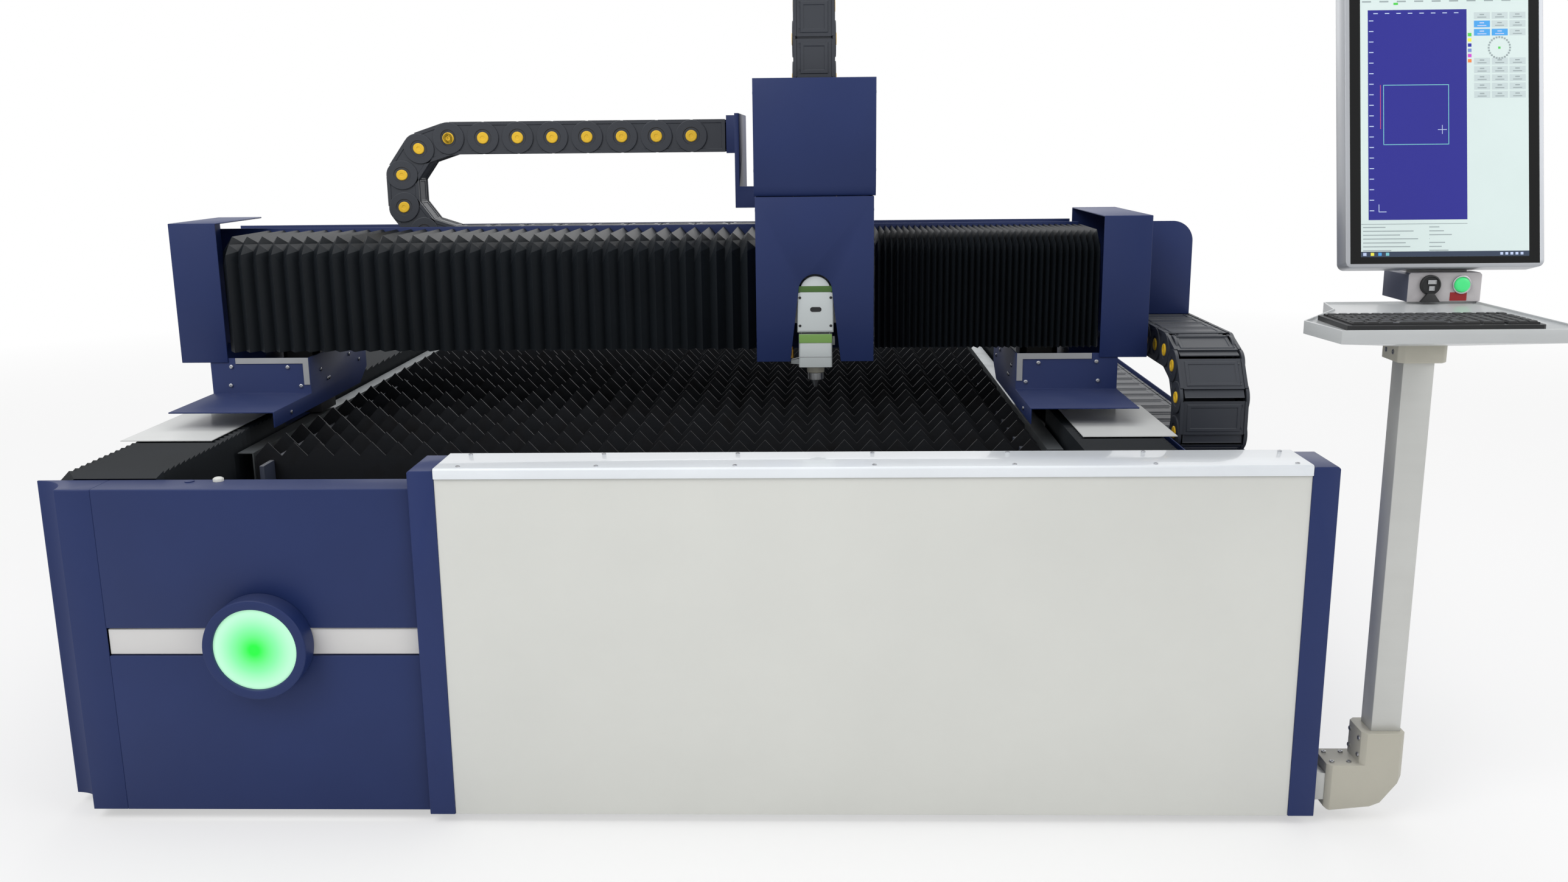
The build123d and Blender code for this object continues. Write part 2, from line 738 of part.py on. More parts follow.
bed_lower_links = 17
lower = straight_run(bed_chain_section(bed_chain_z), closed_section(bed_chain_width), bed_bend_y, bed_lower_links)
keep(lower, "bed_chain_lower")
bed_upper_links = 5
upper = straight_run(bed_chain_section(upper_run_z), link_section(bed_chain_width), bed_bend_y, bed_upper_links)
keep(upper, "bed_chain_upper")
with BuildPart() as bed_chain_bend:
    bend_run(Plane(origin=(bed_x + bed_chain_x, front_y + bed_bend_y, bed_chain_z + bend_radius), x_dir=(0, 1, 0),
                   z_dir=(1, 0, 0)), bed_chain_width, bend_radius, 90, bend_links)
keep(bed_chain_bend, "bed_chain_bend")

# Carriage: plate with its bearing blocks, the shelf for the Z drive and the arm to the cross chain
cover_left = carriage_x - cover_half
cover_right_x = carriage_x + cover_half
cover_sheet = 2
plate_x0 = cover_left + 2 + cover_sheet
plate_x1 = cover_right_x - 4 - cover_sheet
plate_y = gantry_front + 28
plate_back = plate_y + 22
chain_end_x = beam_bend_x + beam_upper_links * link_pitch
shelf_z = 1156
shelf_back = 895
guide_height = 10
arm_low = 1140
arm_high = 1188
with BuildPart() as carriage_plate:
    block(plate_x0, plate_x1, plate_y, plate_back, cover_bottom + 10, 1180)
    for x in (carriage_x - 42, carriage_x + 30):
        block(x, x + 12, plate_y - guide_height, plate_y, cover_bottom + 20, shelf_z)
    for z in beam_rail_z:
        for x in (carriage_x - 90, carriage_x + 90):
            block(x - 40, x + 40, plate_back, beam_y - 1, z - 30, z + 30)
            block(x - 41, x + 41, beam_y - 20 - running, beam_y, z - 12 - running, z + 12 + running,
                  mode=Mode.SUBTRACT)
    block(carriage_x - 45, carriage_x + 45, plate_back, shelf_back, shelf_z, shelf_z + 8)
    block(chain_end_x + 34, carriage_x - 70, plate_back, plate_back + 10, arm_low, arm_high)
    block(chain_end_x + 34, chain_end_x + 44, plate_back, beam_chain_y + beam_chain_width, arm_low, beam_upper_z + 48)
    block(chain_end_x, chain_end_x + 44, beam_chain_y, beam_chain_y + beam_chain_width, beam_upper_z - 42,
          beam_upper_z + 48)
keep(carriage_plate, "carriage_plate")

# Lower carriage cover: an open-backed box whose front has the arched cut-out for the head
seam_step = 23
cover_seat = cover_seam + 17
with BuildPart() as lower_z_cover:
    block(cover_left + 2, cover_right_x - 4, cover_front, plate_back, cover_bottom, cover_seam - seam_step)
    block(cover_left + cover_sheet, plate_x0, cover_front + 30, plate_back, cover_seam - seam_step, cover_seat)
    block(plate_x0, plate_x1, cover_front + cover_sheet, plate_back + 1, cover_bottom - 1, cover_seam - seam_step + 1,
          mode=Mode.SUBTRACT)
    with BuildSketch(facing(cover_front - 1)):
        with BuildLine():
            Polyline((carriage_x + arch_radius, arch_z), (carriage_x + arch_foot, cover_bottom - 1),
                     (carriage_x - arch_foot, cover_bottom - 1), (carriage_x - arch_radius, arch_z))
            ThreePointArc((carriage_x - arch_radius, arch_z), (carriage_x, arch_z + arch_radius),
                          (carriage_x + arch_radius, arch_z))
        make_face()
    extrude(amount=-6, mode=Mode.SUBTRACT)
keep(lower_z_cover, "lower_z_cover")

# Upper carriage cover, with the slot for the head chain in its top and a flange along its foot
upper_back = 930
chain_slot = head_chain_width / 2 + 8
chain_front = 636
with BuildPart() as upper_z_cover:
    block(cover_left, cover_right_x, cover_front, upper_back, cover_seam, cover_peak)
    block(cover_left + cover_sheet, cover_right_x - cover_sheet, cover_front + cover_sheet, upper_back + 1,
          cover_seam - 1, cover_peak - cover_sheet, mode=Mode.SUBTRACT)
    block(carriage_x - chain_slot, carriage_x + chain_slot, chain_front - 8, upper_back + 1, cover_peak - 5,
          cover_peak + 1, mode=Mode.SUBTRACT)
    with BuildSketch(across(cover_left)):
        with BuildLine():
            Polyline((cover_front, cover_seam), (cover_front + 8, cover_seam - seam_step + 1),
                     (cover_front + 10, cover_seam - seam_step + 1), (cover_front + 10, cover_seam), close=True)
        make_face()
    extrude(amount=2 * cover_half)
keep(upper_z_cover, "upper_z_cover")

# Z drive motor and its mount, inside the upper cover
motor_base = shelf_z + 8
with BuildPart() as z_motor:
    block(carriage_x - 60, carriage_x + 60, plate_back, 800, motor_base, motor_base + 12)
    with BuildSketch(level(motor_base + 12)):
        with Locations((carriage_x, 780)):
            Rectangle(68, 68)
            chamfer(vertices(), 10)
    extrude(amount=160)
keep(z_motor, "z_motor")

# Head slide plate, which carries the cutting head up and down
head_front = cover_front + cover_sheet + head_clearance
head_back = head_front + head_depth
head_x0 = carriage_x - head_width / 2
head_x1 = carriage_x + head_width / 2
slide_back = plate_y - guide_height - running
with BuildPart() as head_slide:
    block(carriage_x - 50, carriage_x + 50, head_back, slide_back, head_bottom + 10, shelf_z)
    block(carriage_x - 45, carriage_x + 45, chain_front + 2, slide_back, shelf_z, shelf_z + 8)
keep(head_slide, "head_slide")

# Cutting head: white upper body with a domed top, lower body, nozzle holder and nozzle
dome_z = arch_z - 2
with BuildPart() as head_body:
    with BuildSketch(facing(head_front)):
        with BuildLine():
            Polyline((carriage_x - arch_radius + 3, dome_z), (head_x0, dome_z - 14), (head_x0, head_bottom),
                     (head_x1, head_bottom), (head_x1, dome_z - 14), (carriage_x + arch_radius - 3, dome_z))
            ThreePointArc((carriage_x + arch_radius - 3, dome_z), (carriage_x, dome_z + arch_radius - 3),
                          (carriage_x - arch_radius + 3, dome_z))
        make_face()
    extrude(amount=-head_depth)
keep(head_body, "head_body")

lower_front = head_front + 3
lower_x0 = carriage_x - lower_head_width / 2
lower_top = head_bottom
with BuildPart() as head_lower:
    block(lower_x0 + 5, lower_x0 + lower_head_width - 5, lower_front + 5, head_back - 6, lower_top - neck_height,
          lower_top)
    block(lower_x0, lower_x0 + lower_head_width, lower_front, head_back - 2, lower_head_bottom,
          lower_top - neck_height)
    chamfer(head_lower.edges().filter_by(Axis.Z).sort_by(Axis.Y)[:2], 3)
keep(head_lower, "head_lower")

# Nozzle: the holder, the knurled ring with its flats and the tapered tip
head_axis_y = (head_front + head_back) / 2
holder_size = 40
holder_height = 16
ring_height = 18
ring_flats = 24
ring_radius = 18
tip_radius = 12
ring_top = lower_head_bottom - holder_height
ring_bottom = ring_top - ring_height
with BuildPart() as nozzle:
    with BuildSketch(level(ring_top)):
        with Locations((carriage_x, head_axis_y)):
            Rectangle(holder_size, holder_size)
            chamfer(vertices(), 9)
    extrude(amount=holder_height)
    for radius, top, bottom in ((ring_radius, ring_top, ring_bottom), (tip_radius, ring_bottom, nozzle_tip)):
        with BuildSketch(level(top)):
            with Locations((carriage_x, head_axis_y)):
                RegularPolygon(radius, side_count=ring_flats)
        extrude(amount=bottom - top)
    chamfer(nozzle.faces().sort_by(Axis.Z)[0].edges(), 14, 8)
keep(nozzle, "nozzle")

with BuildPart() as head_fittings:
    block(lower_x0 - 16, lower_x0, lower_front + 30, lower_front + 50, 798, 812)
    block(lower_x0 - 13, lower_x0 - 5, lower_front + 36, lower_front + 44, 812, 834)
    block(lower_x0 + lower_head_width, lower_x0 + lower_head_width + 6, lower_front + 30, lower_front + 48, 842, 862)
keep(head_fittings, "head_fittings")

# Head chain: a loop that rises through the upper cover and comes down behind it
head_run_links = 5
head_loop_links = 4
loop_z = shelf_z + 8 + head_run_links * link_pitch
front_run_y = chain_front + link_height / 2
rear_run_y = front_run_y + 2 * head_chain_radius


with BuildPart() as head_chain:
    for y in (front_run_y, rear_run_y):
        for k in range(head_run_links):
            z = loop_z - (k + 1) * link_pitch + link_gap / 2
            with BuildSketch(Plane(origin=(bed_x + carriage_x, front_y + y, z))):
                with BuildLine():
                    Polyline(*closed_section(head_chain_width), close=True)
                make_face()
            extrude(amount=link_pitch - link_gap)
    bend_run(Plane(origin=(bed_x + carriage_x - head_chain_width / 2, front_y + front_run_y + head_chain_radius,
                           loop_z), x_dir=(0, 1, 0), z_dir=(1, 0, 0)),
             head_chain_width, head_chain_radius, 0, head_loop_links)
keep(head_chain, "head_chain")

# Console tubes: the stub that leaves the right post, and the column that the elbow turns it into
stub_low = stub_z - stub_size / 2
stub_end = post_right + 41
column_foot = 130
with BuildPart() as console_tubes:
    block(post_right, stub_end, console_y - stub_size / 2, console_y + stub_size / 2, stub_low, stub_low + stub_size)
    block(console_x - column_width / 2, console_x + column_width / 2, console_y - column_depth / 2,
          console_y + column_depth / 2, column_foot, coupler_bottom)
keep(console_tubes, "console_tubes")

# Console elbow: a cast corner that turns the stub up into the column
elbow_half = 38
elbow_x0 = post_right + 23
elbow_x1 = console_x + 34
elbow_top = 185
elbow_step = 120
elbow_low = 28
with BuildPart() as console_elbow:
    with BuildSketch(facing(console_y - elbow_half)):
        with BuildLine():
            Polyline((elbow_x0, elbow_low + 4), (elbow_x0, elbow_step), (console_x - 47, elbow_step),
                     (console_x - 47, elbow_top), (elbow_x1, elbow_top), (elbow_x1, 96), (console_x - 5, 44),
                     (console_x - 24, 36), (elbow_x0 + 6, elbow_low), close=True)
        make_face()
    extrude(amount=-2 * elbow_half)
    block(elbow_x0 - 1, stub_end, console_y - stub_size / 2, console_y + stub_size / 2, stub_low,
          stub_low + stub_size, mode=Mode.SUBTRACT)
    block(console_x - column_width / 2, console_x + column_width / 2, console_y - column_depth / 2,
          console_y + column_depth / 2, column_foot, elbow_top + 1, mode=Mode.SUBTRACT)
    chamfer(console_elbow.edges().filter_by(Axis.Z).filter_by(lambda e: e.length > 20)
            .filter_by(lambda e: abs(e.center().Y - front_y - console_y) > elbow_half - 1), 9)
keep(console_elbow, "console_elbow")

# Console head, which turns on the column: coupler, tray, control box, monitor
with BuildPart() as console_coupler:
    with BuildSketch(level(coupler_bottom)):
        with Locations((console_x, console_y)):
            Rectangle(coupler_size, coupler_size)
            chamfer(vertices(), 10)
    extrude(amount=coupler_top - coupler_bottom)
keep(console_coupler, "console_coupler")

tray_outline = [(1182, tray_front), (1566, tray_front), (1566, 110), (1290, 110), (1270, 8), (1166, -145)]
tray_middle = (1370, -90)
belly_scale = 0.3
tray_foot = [(console_x + belly_scale * (x - tray_middle[0]), console_y + belly_scale * (y - tray_middle[1]))
             for x, y in tray_outline]
rim_bottom = tray_top - tray_depth
with BuildPart() as console_tray:
    with BuildSketch(level(rim_bottom)):
        with BuildLine():
            Polyline(*tray_outline, close=True)
        make_face()
    extrude(amount=tray_depth)
    with BuildSketch(level(tray_top)):
        with BuildLine(mode=Mode.PRIVATE) as rim:
            Polyline(*tray_outline, close=True)
        with BuildLine():
            add(offset(rim.line, amount=-sheet, kind=Kind.INTERSECTION, mode=Mode.PRIVATE))
        make_face()
    extrude(amount=-tray_rim, mode=Mode.SUBTRACT)
    add(frustum(tray_foot, coupler_top, tray_outline, rim_bottom))
keep(console_tray, "console_tray")

tray_floor = tray_top - tray_rim
key_x0 = 1200
key_x1 = 1510
key_y0 = -248
key_y1 = -108
with BuildPart() as keyboard:
    block(key_x0, key_x1, key_y0, key_y1, tray_floor, tray_floor + 8)
    chamfer(keyboard.edges().filter_by(Axis.Z), 5)
    for x0, x1 in ((key_x0 + 8, key_x0 + 208), (key_x0 + 214, key_x0 + 246), (key_x0 + 252, key_x1 - 8)):
        block(x0, x1, key_y0 + 8, key_y1 - 28, tray_floor + 8, tray_floor + 11)
        block(x0, x1, key_y1 - 22, key_y1 - 8, tray_floor + 8, tray_floor + 11)
keep(keyboard, "keyboard")

# Control box behind the tray, with the start button and the socket on its front
box_right = box_left + box_width
box_back = box_front + box_depth
box_bottom = tray_top
box_top = box_bottom + box_height
button_x = 1532
button_z = 1021
socket_x = 1475
socket_radius = 18
socket_body = 24
port_width = 13
port_height = 6
bezel_radius = 17
button_clearance = 0.5
button_hole = 60
with BuildPart() as control_box:
    block(box_left, box_right, box_front, box_back, box_bottom, box_top)
    chamfer(control_box.edges().filter_by(Axis.Y).group_by(Axis.Z)[-1], 4)
    with BuildSketch(facing(box_front)):
        with Locations((button_x, button_z)):
            Circle(button_radius + button_clearance)
    extrude(amount=-button_hole, mode=Mode.SUBTRACT)
    with BuildSketch(facing(box_front)):
        with Locations((socket_x, button_z)):
            Rectangle(socket_body, socket_body)
    extrude(amount=-30, mode=Mode.SUBTRACT)
keep(control_box, "control_box")

with BuildPart() as button_bezel:
    with BuildSketch(facing(box_front)):
        with Locations((button_x, button_z)):
            RegularPolygon(bezel_radius, side_count=ring_flats)
            RegularPolygon(button_radius + 2 * button_clearance, side_count=ring_flats, mode=Mode.SUBTRACT)
    extrude(amount=4)
keep(button_bezel, "button_bezel")

with BuildPart() as start_button:
    with BuildSketch(facing(box_front - 7)):
        with Locations((button_x, button_z)):
            Circle(button_radius)
    extrude(amount=-(button_hole - 10))
keep(start_button, "start_button")

with BuildPart() as data_socket:
    with BuildSketch(facing(box_front)):
        with Locations((socket_x, button_z)):
            RegularPolygon(socket_radius, side_count=ring_flats)
            Rectangle(port_width, port_height, mode=Mode.SUBTRACT)
    extrude(amount=6)
keep(data_socket, "data_socket")

# Monitor, leaning back, on a tapered bracket that rises from the control box
monitor_plane = Plane(origin=(bed_x + monitor_x, front_y + 83, monitor_bottom), x_dir=(1, 0, 0),
                      z_dir=(0, -cos(radians(monitor_tilt)), sin(radians(monitor_tilt))))
screen_recess = 2
with BuildPart() as monitor_housing:
    with BuildSketch(monitor_plane):
        with Locations((0, monitor_height / 2)):
            RectangleRounded(monitor_width, monitor_height, 12)
    extrude(amount=-monitor_depth)
    with BuildSketch(monitor_plane):
        with Locations((0, monitor_height / 2)):
            Rectangle(screen_width, screen_height)
    extrude(amount=-screen_recess, mode=Mode.SUBTRACT)
keep(monitor_housing, "monitor_housing")

with BuildPart() as monitor_screen:
    with BuildSketch(monitor_plane.offset(-screen_recess)):
        with Locations((0, monitor_height / 2)):
            Rectangle(screen_width, screen_height)
    extrude(amount=1)
keep(monitor_screen, "monitor_screen")

bracket_plate = 4
with BuildPart() as monitor_bracket:
    with BuildSketch(monitor_plane.offset(-monitor_depth)):
        with BuildLine():
            Polyline((-50, 1), (60, 1), (50, 300), (-50, 300), close=True)
        make_face()
    extrude(amount=-bracket_plate)
    block(monitor_x - 50, monitor_x + 60, box_front + 27, box_back - 10, box_top, box_top + bracket_plate)
keep(monitor_bracket, "monitor_bracket")
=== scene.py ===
# %% [markdown]
# A gantry laser cutting machine, dressed for its picture. The CAD model gives every main shape and
# every place. This lesson lights it, gives each part its finish, and adds what a CAD model leaves
# out: chain links, folds of the pleated covers, screws, the lit screen and the keys.

# %% Load the frame
import json
from math import asin, atan2, cos, degrees, pi, radians, sin

import bpy
from mathutils import Matrix, Vector


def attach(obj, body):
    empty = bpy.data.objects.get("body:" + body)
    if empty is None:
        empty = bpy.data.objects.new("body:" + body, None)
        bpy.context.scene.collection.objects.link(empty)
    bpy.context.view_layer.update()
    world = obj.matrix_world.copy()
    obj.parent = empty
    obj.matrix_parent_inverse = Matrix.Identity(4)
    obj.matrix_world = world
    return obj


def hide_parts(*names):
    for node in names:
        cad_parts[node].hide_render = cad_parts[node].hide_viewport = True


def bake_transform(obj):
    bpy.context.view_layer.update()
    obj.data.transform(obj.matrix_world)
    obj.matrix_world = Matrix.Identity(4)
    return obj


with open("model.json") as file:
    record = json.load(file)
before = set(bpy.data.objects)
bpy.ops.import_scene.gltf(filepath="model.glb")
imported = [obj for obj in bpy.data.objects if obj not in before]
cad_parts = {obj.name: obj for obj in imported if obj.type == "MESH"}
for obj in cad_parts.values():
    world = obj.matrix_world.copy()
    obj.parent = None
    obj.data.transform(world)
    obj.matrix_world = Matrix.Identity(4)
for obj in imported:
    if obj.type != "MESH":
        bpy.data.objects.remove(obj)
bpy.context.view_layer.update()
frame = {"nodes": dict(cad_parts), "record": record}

# %% [markdown]
# The CAD part is laid out in millimetres from the bed's centre line and its front face. The same
# numbers are handy here, so one small helper turns such a place into metres in the shared frame.

# %% Places in the layout
MM = 0.001
LAYOUT_ORIGIN = Vector((-269.25, -1965.0, 0.0))


def at(x, y, z):
    """A place given in the layout's millimetres, in metres in the shared frame."""
    return (Vector((x, y, z)) + LAYOUT_ORIGIN) * MM


print("front left corner", at(-1130, 15, 0))

# %% [markdown]
# The camera stands where a person stands to photograph the whole front: left of the console, a
# little above the beam, tilted down. A lens of 31 mm gives the slight spread of the
# uprights. A longer lens from further away would be calmer, but would hide the bed behind the lid.

# %% The camera
STANDPOINT = (362, -2400.5, 1287.2)
LENS = 31.21
PITCH = radians(12.431)
HEADING = radians(1.458)
ROLL = radians(-0.581)

camera_data = bpy.data.cameras.new("camera")
camera_data.sensor_width = 36
camera_data.lens = LENS
camera_data.clip_end = 100
camera = bpy.data.objects.new("camera", camera_data)
bpy.context.scene.collection.objects.link(camera)
turn = Matrix.Rotation(HEADING, 4, "Z") @ Matrix.Rotation(pi / 2 - PITCH, 4, "X")
turn = turn @ Matrix.Rotation(ROLL, 4, "Z")
camera.matrix_world = Matrix.Translation(at(*STANDPOINT)) @ turn
bpy.context.scene.camera = camera
print("camera at", tuple(round(v, 3) for v in camera.location))

# %% [markdown]
# Machines like this are photographed on white. The floor is a plain pale disc that keeps a soft
# shadow. The world is white where the camera, a reflection or glass sees it, and gives a gentle
# light elsewhere. Four large area lamps do the rest, because a big lamp makes a soft highlight.

# %% World, floor and lamps
FLOOR_COLOUR = (0.94, 0.94, 0.94, 1)
AMBIENT = 0.55
FLOOR_RADIUS = 30
FADE_START, FADE_STOP = 2.5, 7.0
NEAR_WHITE = 0.5


def node_at(tree, kind, **settings):
    """A new node in a tree, with its settings or inputs given by name."""
    node = tree.nodes.new(kind)
    for key, value in settings.items():
        setattr(node, key, value)
    return node


bpy.context.scene.view_settings.view_transform = "Standard"
world = bpy.data.worlds.new("studio")
bpy.context.scene.world = world
world.use_nodes = True
tree = world.node_tree
tree.nodes.clear()
rays = node_at(tree, "ShaderNodeLightPath")
seen = node_at(tree, "ShaderNodeMath", operation="MAXIMUM")
shown = node_at(tree, "ShaderNodeMath", operation="MAXIMUM")
strength = node_at(tree, "ShaderNodeMapRange")
strength.inputs["To Min"].default_value = AMBIENT
strength.inputs["To Max"].default_value = 1.0
background = node_at(tree, "ShaderNodeBackground")
background.inputs["Color"].default_value = (1, 1, 1, 1)
output = node_at(tree, "ShaderNodeOutputWorld")
tree.links.new(rays.outputs["Is Camera Ray"], seen.inputs[0])
tree.links.new(rays.outputs["Is Transmission Ray"], seen.inputs[1])
tree.links.new(seen.outputs[0], shown.inputs[0])
tree.links.new(rays.outputs["Is Glossy Ray"], shown.inputs[1])
tree.links.new(shown.outputs[0], strength.inputs["Value"])
tree.links.new(strength.outputs[0], background.inputs["Strength"])
tree.links.new(background.outputs[0], output.inputs["Surface"])


def lamp(name, place, target, size, power):
    """A square area lamp at a place, turned to a target."""
    data = bpy.data.lights.new(name, "AREA")
    data.size = size
    data.energy = power
    piece = bpy.data.objects.new(name, data)
    piece.location = place
    piece.rotation_euler = (Vector(target) - Vector(place)).to_track_quat("-Z", "Y").to_euler()
    bpy.context.scene.collection.objects.link(piece)
    return piece


lamp("key_lamp", (-3.0, -5.0, 5.0), (0, -1.0, 0.6), 3.5, 125)
lamp("fill_lamp", (4.5, -4.0, 3.5), (0.3, -1.0, 0.7), 3.0, 60)
lamp("top_lamp", (0, 0.5, 5.5), (0, 0, 0), 5.0, 100)
lamp("back_lamp", (0, 6.0, 3.5), (0, 0, 0.6), 4.0, 50)

bpy.ops.object.select_all(action="DESELECT")
bpy.ops.mesh.primitive_circle_add(vertices=96, radius=FLOOR_RADIUS, fill_type="NGON", location=(0, 0, 0))
floor = bpy.context.object
floor.name = "studio_floor"
floor_material = bpy.data.materials.new("floor_white")
floor_material.use_nodes = True
tree = floor_material.node_tree
shader = tree.nodes["Principled BSDF"]
shader.inputs["Base Color"].default_value = FLOOR_COLOUR
shader.inputs["Roughness"].default_value = 0.9
shader.inputs["Specular IOR Level"].default_value = 0.1
rays = node_at(tree, "ShaderNodeLightPath")
coordinates = node_at(tree, "ShaderNodeTexCoord")
distance = node_at(tree, "ShaderNodeVectorMath", operation="LENGTH")
fade = node_at(tree, "ShaderNodeMapRange")
fade.inputs["From Min"].default_value = FADE_START
fade.inputs["From Max"].default_value = FADE_STOP
fade.inputs["To Min"].default_value = NEAR_WHITE
white_out = node_at(tree, "ShaderNodeMath", operation="MULTIPLY")
white = node_at(tree, "ShaderNodeEmission")
blended = node_at(tree, "ShaderNodeMixShader")
tree.links.new(coordinates.outputs["Object"], distance.inputs[0])
tree.links.new(distance.outputs["Value"], fade.inputs["Value"])
tree.links.new(fade.outputs[0], white_out.inputs[0])
tree.links.new(rays.outputs["Is Camera Ray"], white_out.inputs[1])
tree.links.new(white_out.outputs[0], blended.inputs["Fac"])
tree.links.new(shader.outputs[0], blended.inputs[1])
tree.links.new(white.outputs[0], blended.inputs[2])
tree.links.new(blended.outputs[0], tree.nodes["Material Output"].inputs["Surface"])
floor.data.materials.append(floor_material)
print("lamps and floor are in place")

# %% [markdown]
# Several finishes need the same small effects. Sprayed paint has a fine orange-peel surface and a
# faint mottle, worked steel has drawn lines, and everything near the cutting carries dust on faces
# that look up. Each effect is a shader node group, built once and placed with its own values.

# %% Shared effects as node groups


def new_group(name, inputs, outputs):
    """An empty shader node group with named sockets."""
    group = bpy.data.node_groups.new(name, "ShaderNodeTree")
    for label, kind, value in inputs:
        socket = group.interface.new_socket(label, in_out="INPUT", socket_type=kind)
        socket.default_value = value
    for label, kind in outputs:
        group.interface.new_socket(label, in_out="OUTPUT", socket_type=kind)
    start = group.nodes.new("NodeGroupInput")
    stop = group.nodes.new("NodeGroupOutput")
    return group, start, stop


COLOUR, NUMBER = "NodeSocketColor", "NodeSocketFloat"


def noise_in(group, start, scale_socket, detail, stretch=(1, 1, 1)):
    """A noise node on object coordinates, stretched by a mapping."""
    coordinates = group.nodes.new("ShaderNodeTexCoord")
    mapping = group.nodes.new("ShaderNodeMapping")
    mapping.inputs["Scale"].default_value = stretch
    noise = group.nodes.new("ShaderNodeTexNoise")
    noise.inputs["Detail"].default_value = detail
    group.links.new(coordinates.outputs["Object"], mapping.inputs["Vector"])
    group.links.new(mapping.outputs[0], noise.inputs["Vector"])
    group.links.new(start.outputs[scale_socket], noise.inputs["Scale"])
    return noise


paint_skin, start, stop = new_group(
    "paint_skin",
    [("Colour", COLOUR, (0.5, 0.5, 0.5, 1)), ("Grain scale", NUMBER, 900.0), ("Mottle scale", NUMBER, 6.0),
     ("Mottle", NUMBER, 0.08), ("Dust", NUMBER, 0.1), ("Dust colour", COLOUR, (0.5, 0.5, 0.48, 1))],
    [("Colour", COLOUR), ("Roughness shift", NUMBER), ("Height", NUMBER)])
grain = noise_in(paint_skin, start, "Grain scale", 2)
mottle = noise_in(paint_skin, start, "Mottle scale", 5)
links = paint_skin.links
spread = node_at(paint_skin, "ShaderNodeMapRange")
spread.inputs["From Min"].default_value = 0.3
spread.inputs["From Max"].default_value = 0.7
spread.inputs["To Min"].default_value = -1.0
shade = node_at(paint_skin, "ShaderNodeMath", operation="MULTIPLY")
lift = node_at(paint_skin, "ShaderNodeMath", operation="ADD")
lift.inputs[1].default_value = 1.0
toned = node_at(paint_skin, "ShaderNodeVectorMath", operation="SCALE")
links.new(mottle.outputs["Fac"], spread.inputs["Value"])
links.new(spread.outputs[0], shade.inputs[0])
links.new(start.outputs["Mottle"], shade.inputs[1])
links.new(shade.outputs[0], lift.inputs[0])
links.new(start.outputs["Colour"], toned.inputs[0])
links.new(lift.outputs[0], toned.inputs["Scale"])
facing_up = node_at(paint_skin, "ShaderNodeNewGeometry")
parts = node_at(paint_skin, "ShaderNodeSeparateXYZ")
upward = node_at(paint_skin, "ShaderNodeMapRange")
upward.inputs["From Min"].default_value = 0.6
dusty = node_at(paint_skin, "ShaderNodeMath", operation="MULTIPLY")
settled = node_at(paint_skin, "ShaderNodeMath", operation="MULTIPLY")
dust_mix = node_at(paint_skin, "ShaderNodeMix", data_type="RGBA")
links.new(facing_up.outputs["Normal"], parts.inputs[0])
links.new(parts.outputs["Z"], upward.inputs["Value"])
links.new(upward.outputs[0], dusty.inputs[0])
links.new(mottle.outputs["Fac"], dusty.inputs[1])
links.new(dusty.outputs[0], settled.inputs[0])
links.new(start.outputs["Dust"], settled.inputs[1])
links.new(settled.outputs[0], dust_mix.inputs["Factor"])
links.new(toned.outputs[0], dust_mix.inputs["A"])
links.new(start.outputs["Dust colour"], dust_mix.inputs["B"])
links.new(dust_mix.outputs["Result"], stop.inputs["Colour"])
links.new(settled.outputs[0], stop.inputs["Roughness shift"])
links.new(grain.outputs["Fac"], stop.inputs["Height"])

drawn_metal, start, stop = new_group(
    "drawn_metal",
    [("Colour", COLOUR, (0.5, 0.5, 0.5, 1)), ("Line scale", NUMBER, 60.0), ("Streak", NUMBER, 0.15),
     ("Stain scale", NUMBER, 7.0), ("Stain", NUMBER, 0.2), ("Stain colour", COLOUR, (0.2, 0.15, 0.1, 1))],
    [("Colour", COLOUR), ("Roughness shift", NUMBER), ("Height", NUMBER)])
line = noise_in(drawn_metal, start, "Line scale", 3, stretch=(0.05, 1, 1))
stain = noise_in(drawn_metal, start, "Stain scale", 6)
links = drawn_metal.links
streak = node_at(drawn_metal, "ShaderNodeMath", operation="MULTIPLY")
lift = node_at(drawn_metal, "ShaderNodeMath", operation="SUBTRACT")
lift.inputs[0].default_value = 1.08
toned = node_at(drawn_metal, "ShaderNodeVectorMath", operation="SCALE")
links.new(line.outputs["Fac"], streak.inputs[0])
links.new(start.outputs["Streak"], streak.inputs[1])
links.new(streak.outputs[0], lift.inputs[1])
links.new(start.outputs["Colour"], toned.inputs[0])
links.new(lift.outputs[0], toned.inputs["Scale"])
patch = node_at(drawn_metal, "ShaderNodeMapRange")
patch.inputs["From Min"].default_value = 0.45
patch.inputs["From Max"].default_value = 0.7
stained = node_at(drawn_metal, "ShaderNodeMath", operation="MULTIPLY")
stain_mix = node_at(drawn_metal, "ShaderNodeMix", data_type="RGBA")
links.new(stain.outputs["Fac"], patch.inputs["Value"])
links.new(patch.outputs[0], stained.inputs[0])
links.new(start.outputs["Stain"], stained.inputs[1])
links.new(stained.outputs[0], stain_mix.inputs["Factor"])
links.new(toned.outputs[0], stain_mix.inputs["A"])
links.new(start.outputs["Stain colour"], stain_mix.inputs["B"])
links.new(stain_mix.outputs["Result"], stop.inputs["Colour"])
links.new(stained.outputs[0], stop.inputs["Roughness shift"])
links.new(line.outputs["Fac"], stop.inputs["Height"])
print("node groups:", [g.name for g in bpy.data.node_groups])

# %% [markdown]
# A finish is one Principled shader fed by one of those groups. Constants such as the coat or the
# metal look are set on the shader itself. Only colour, roughness and bump come through the group.

# %% Finishes


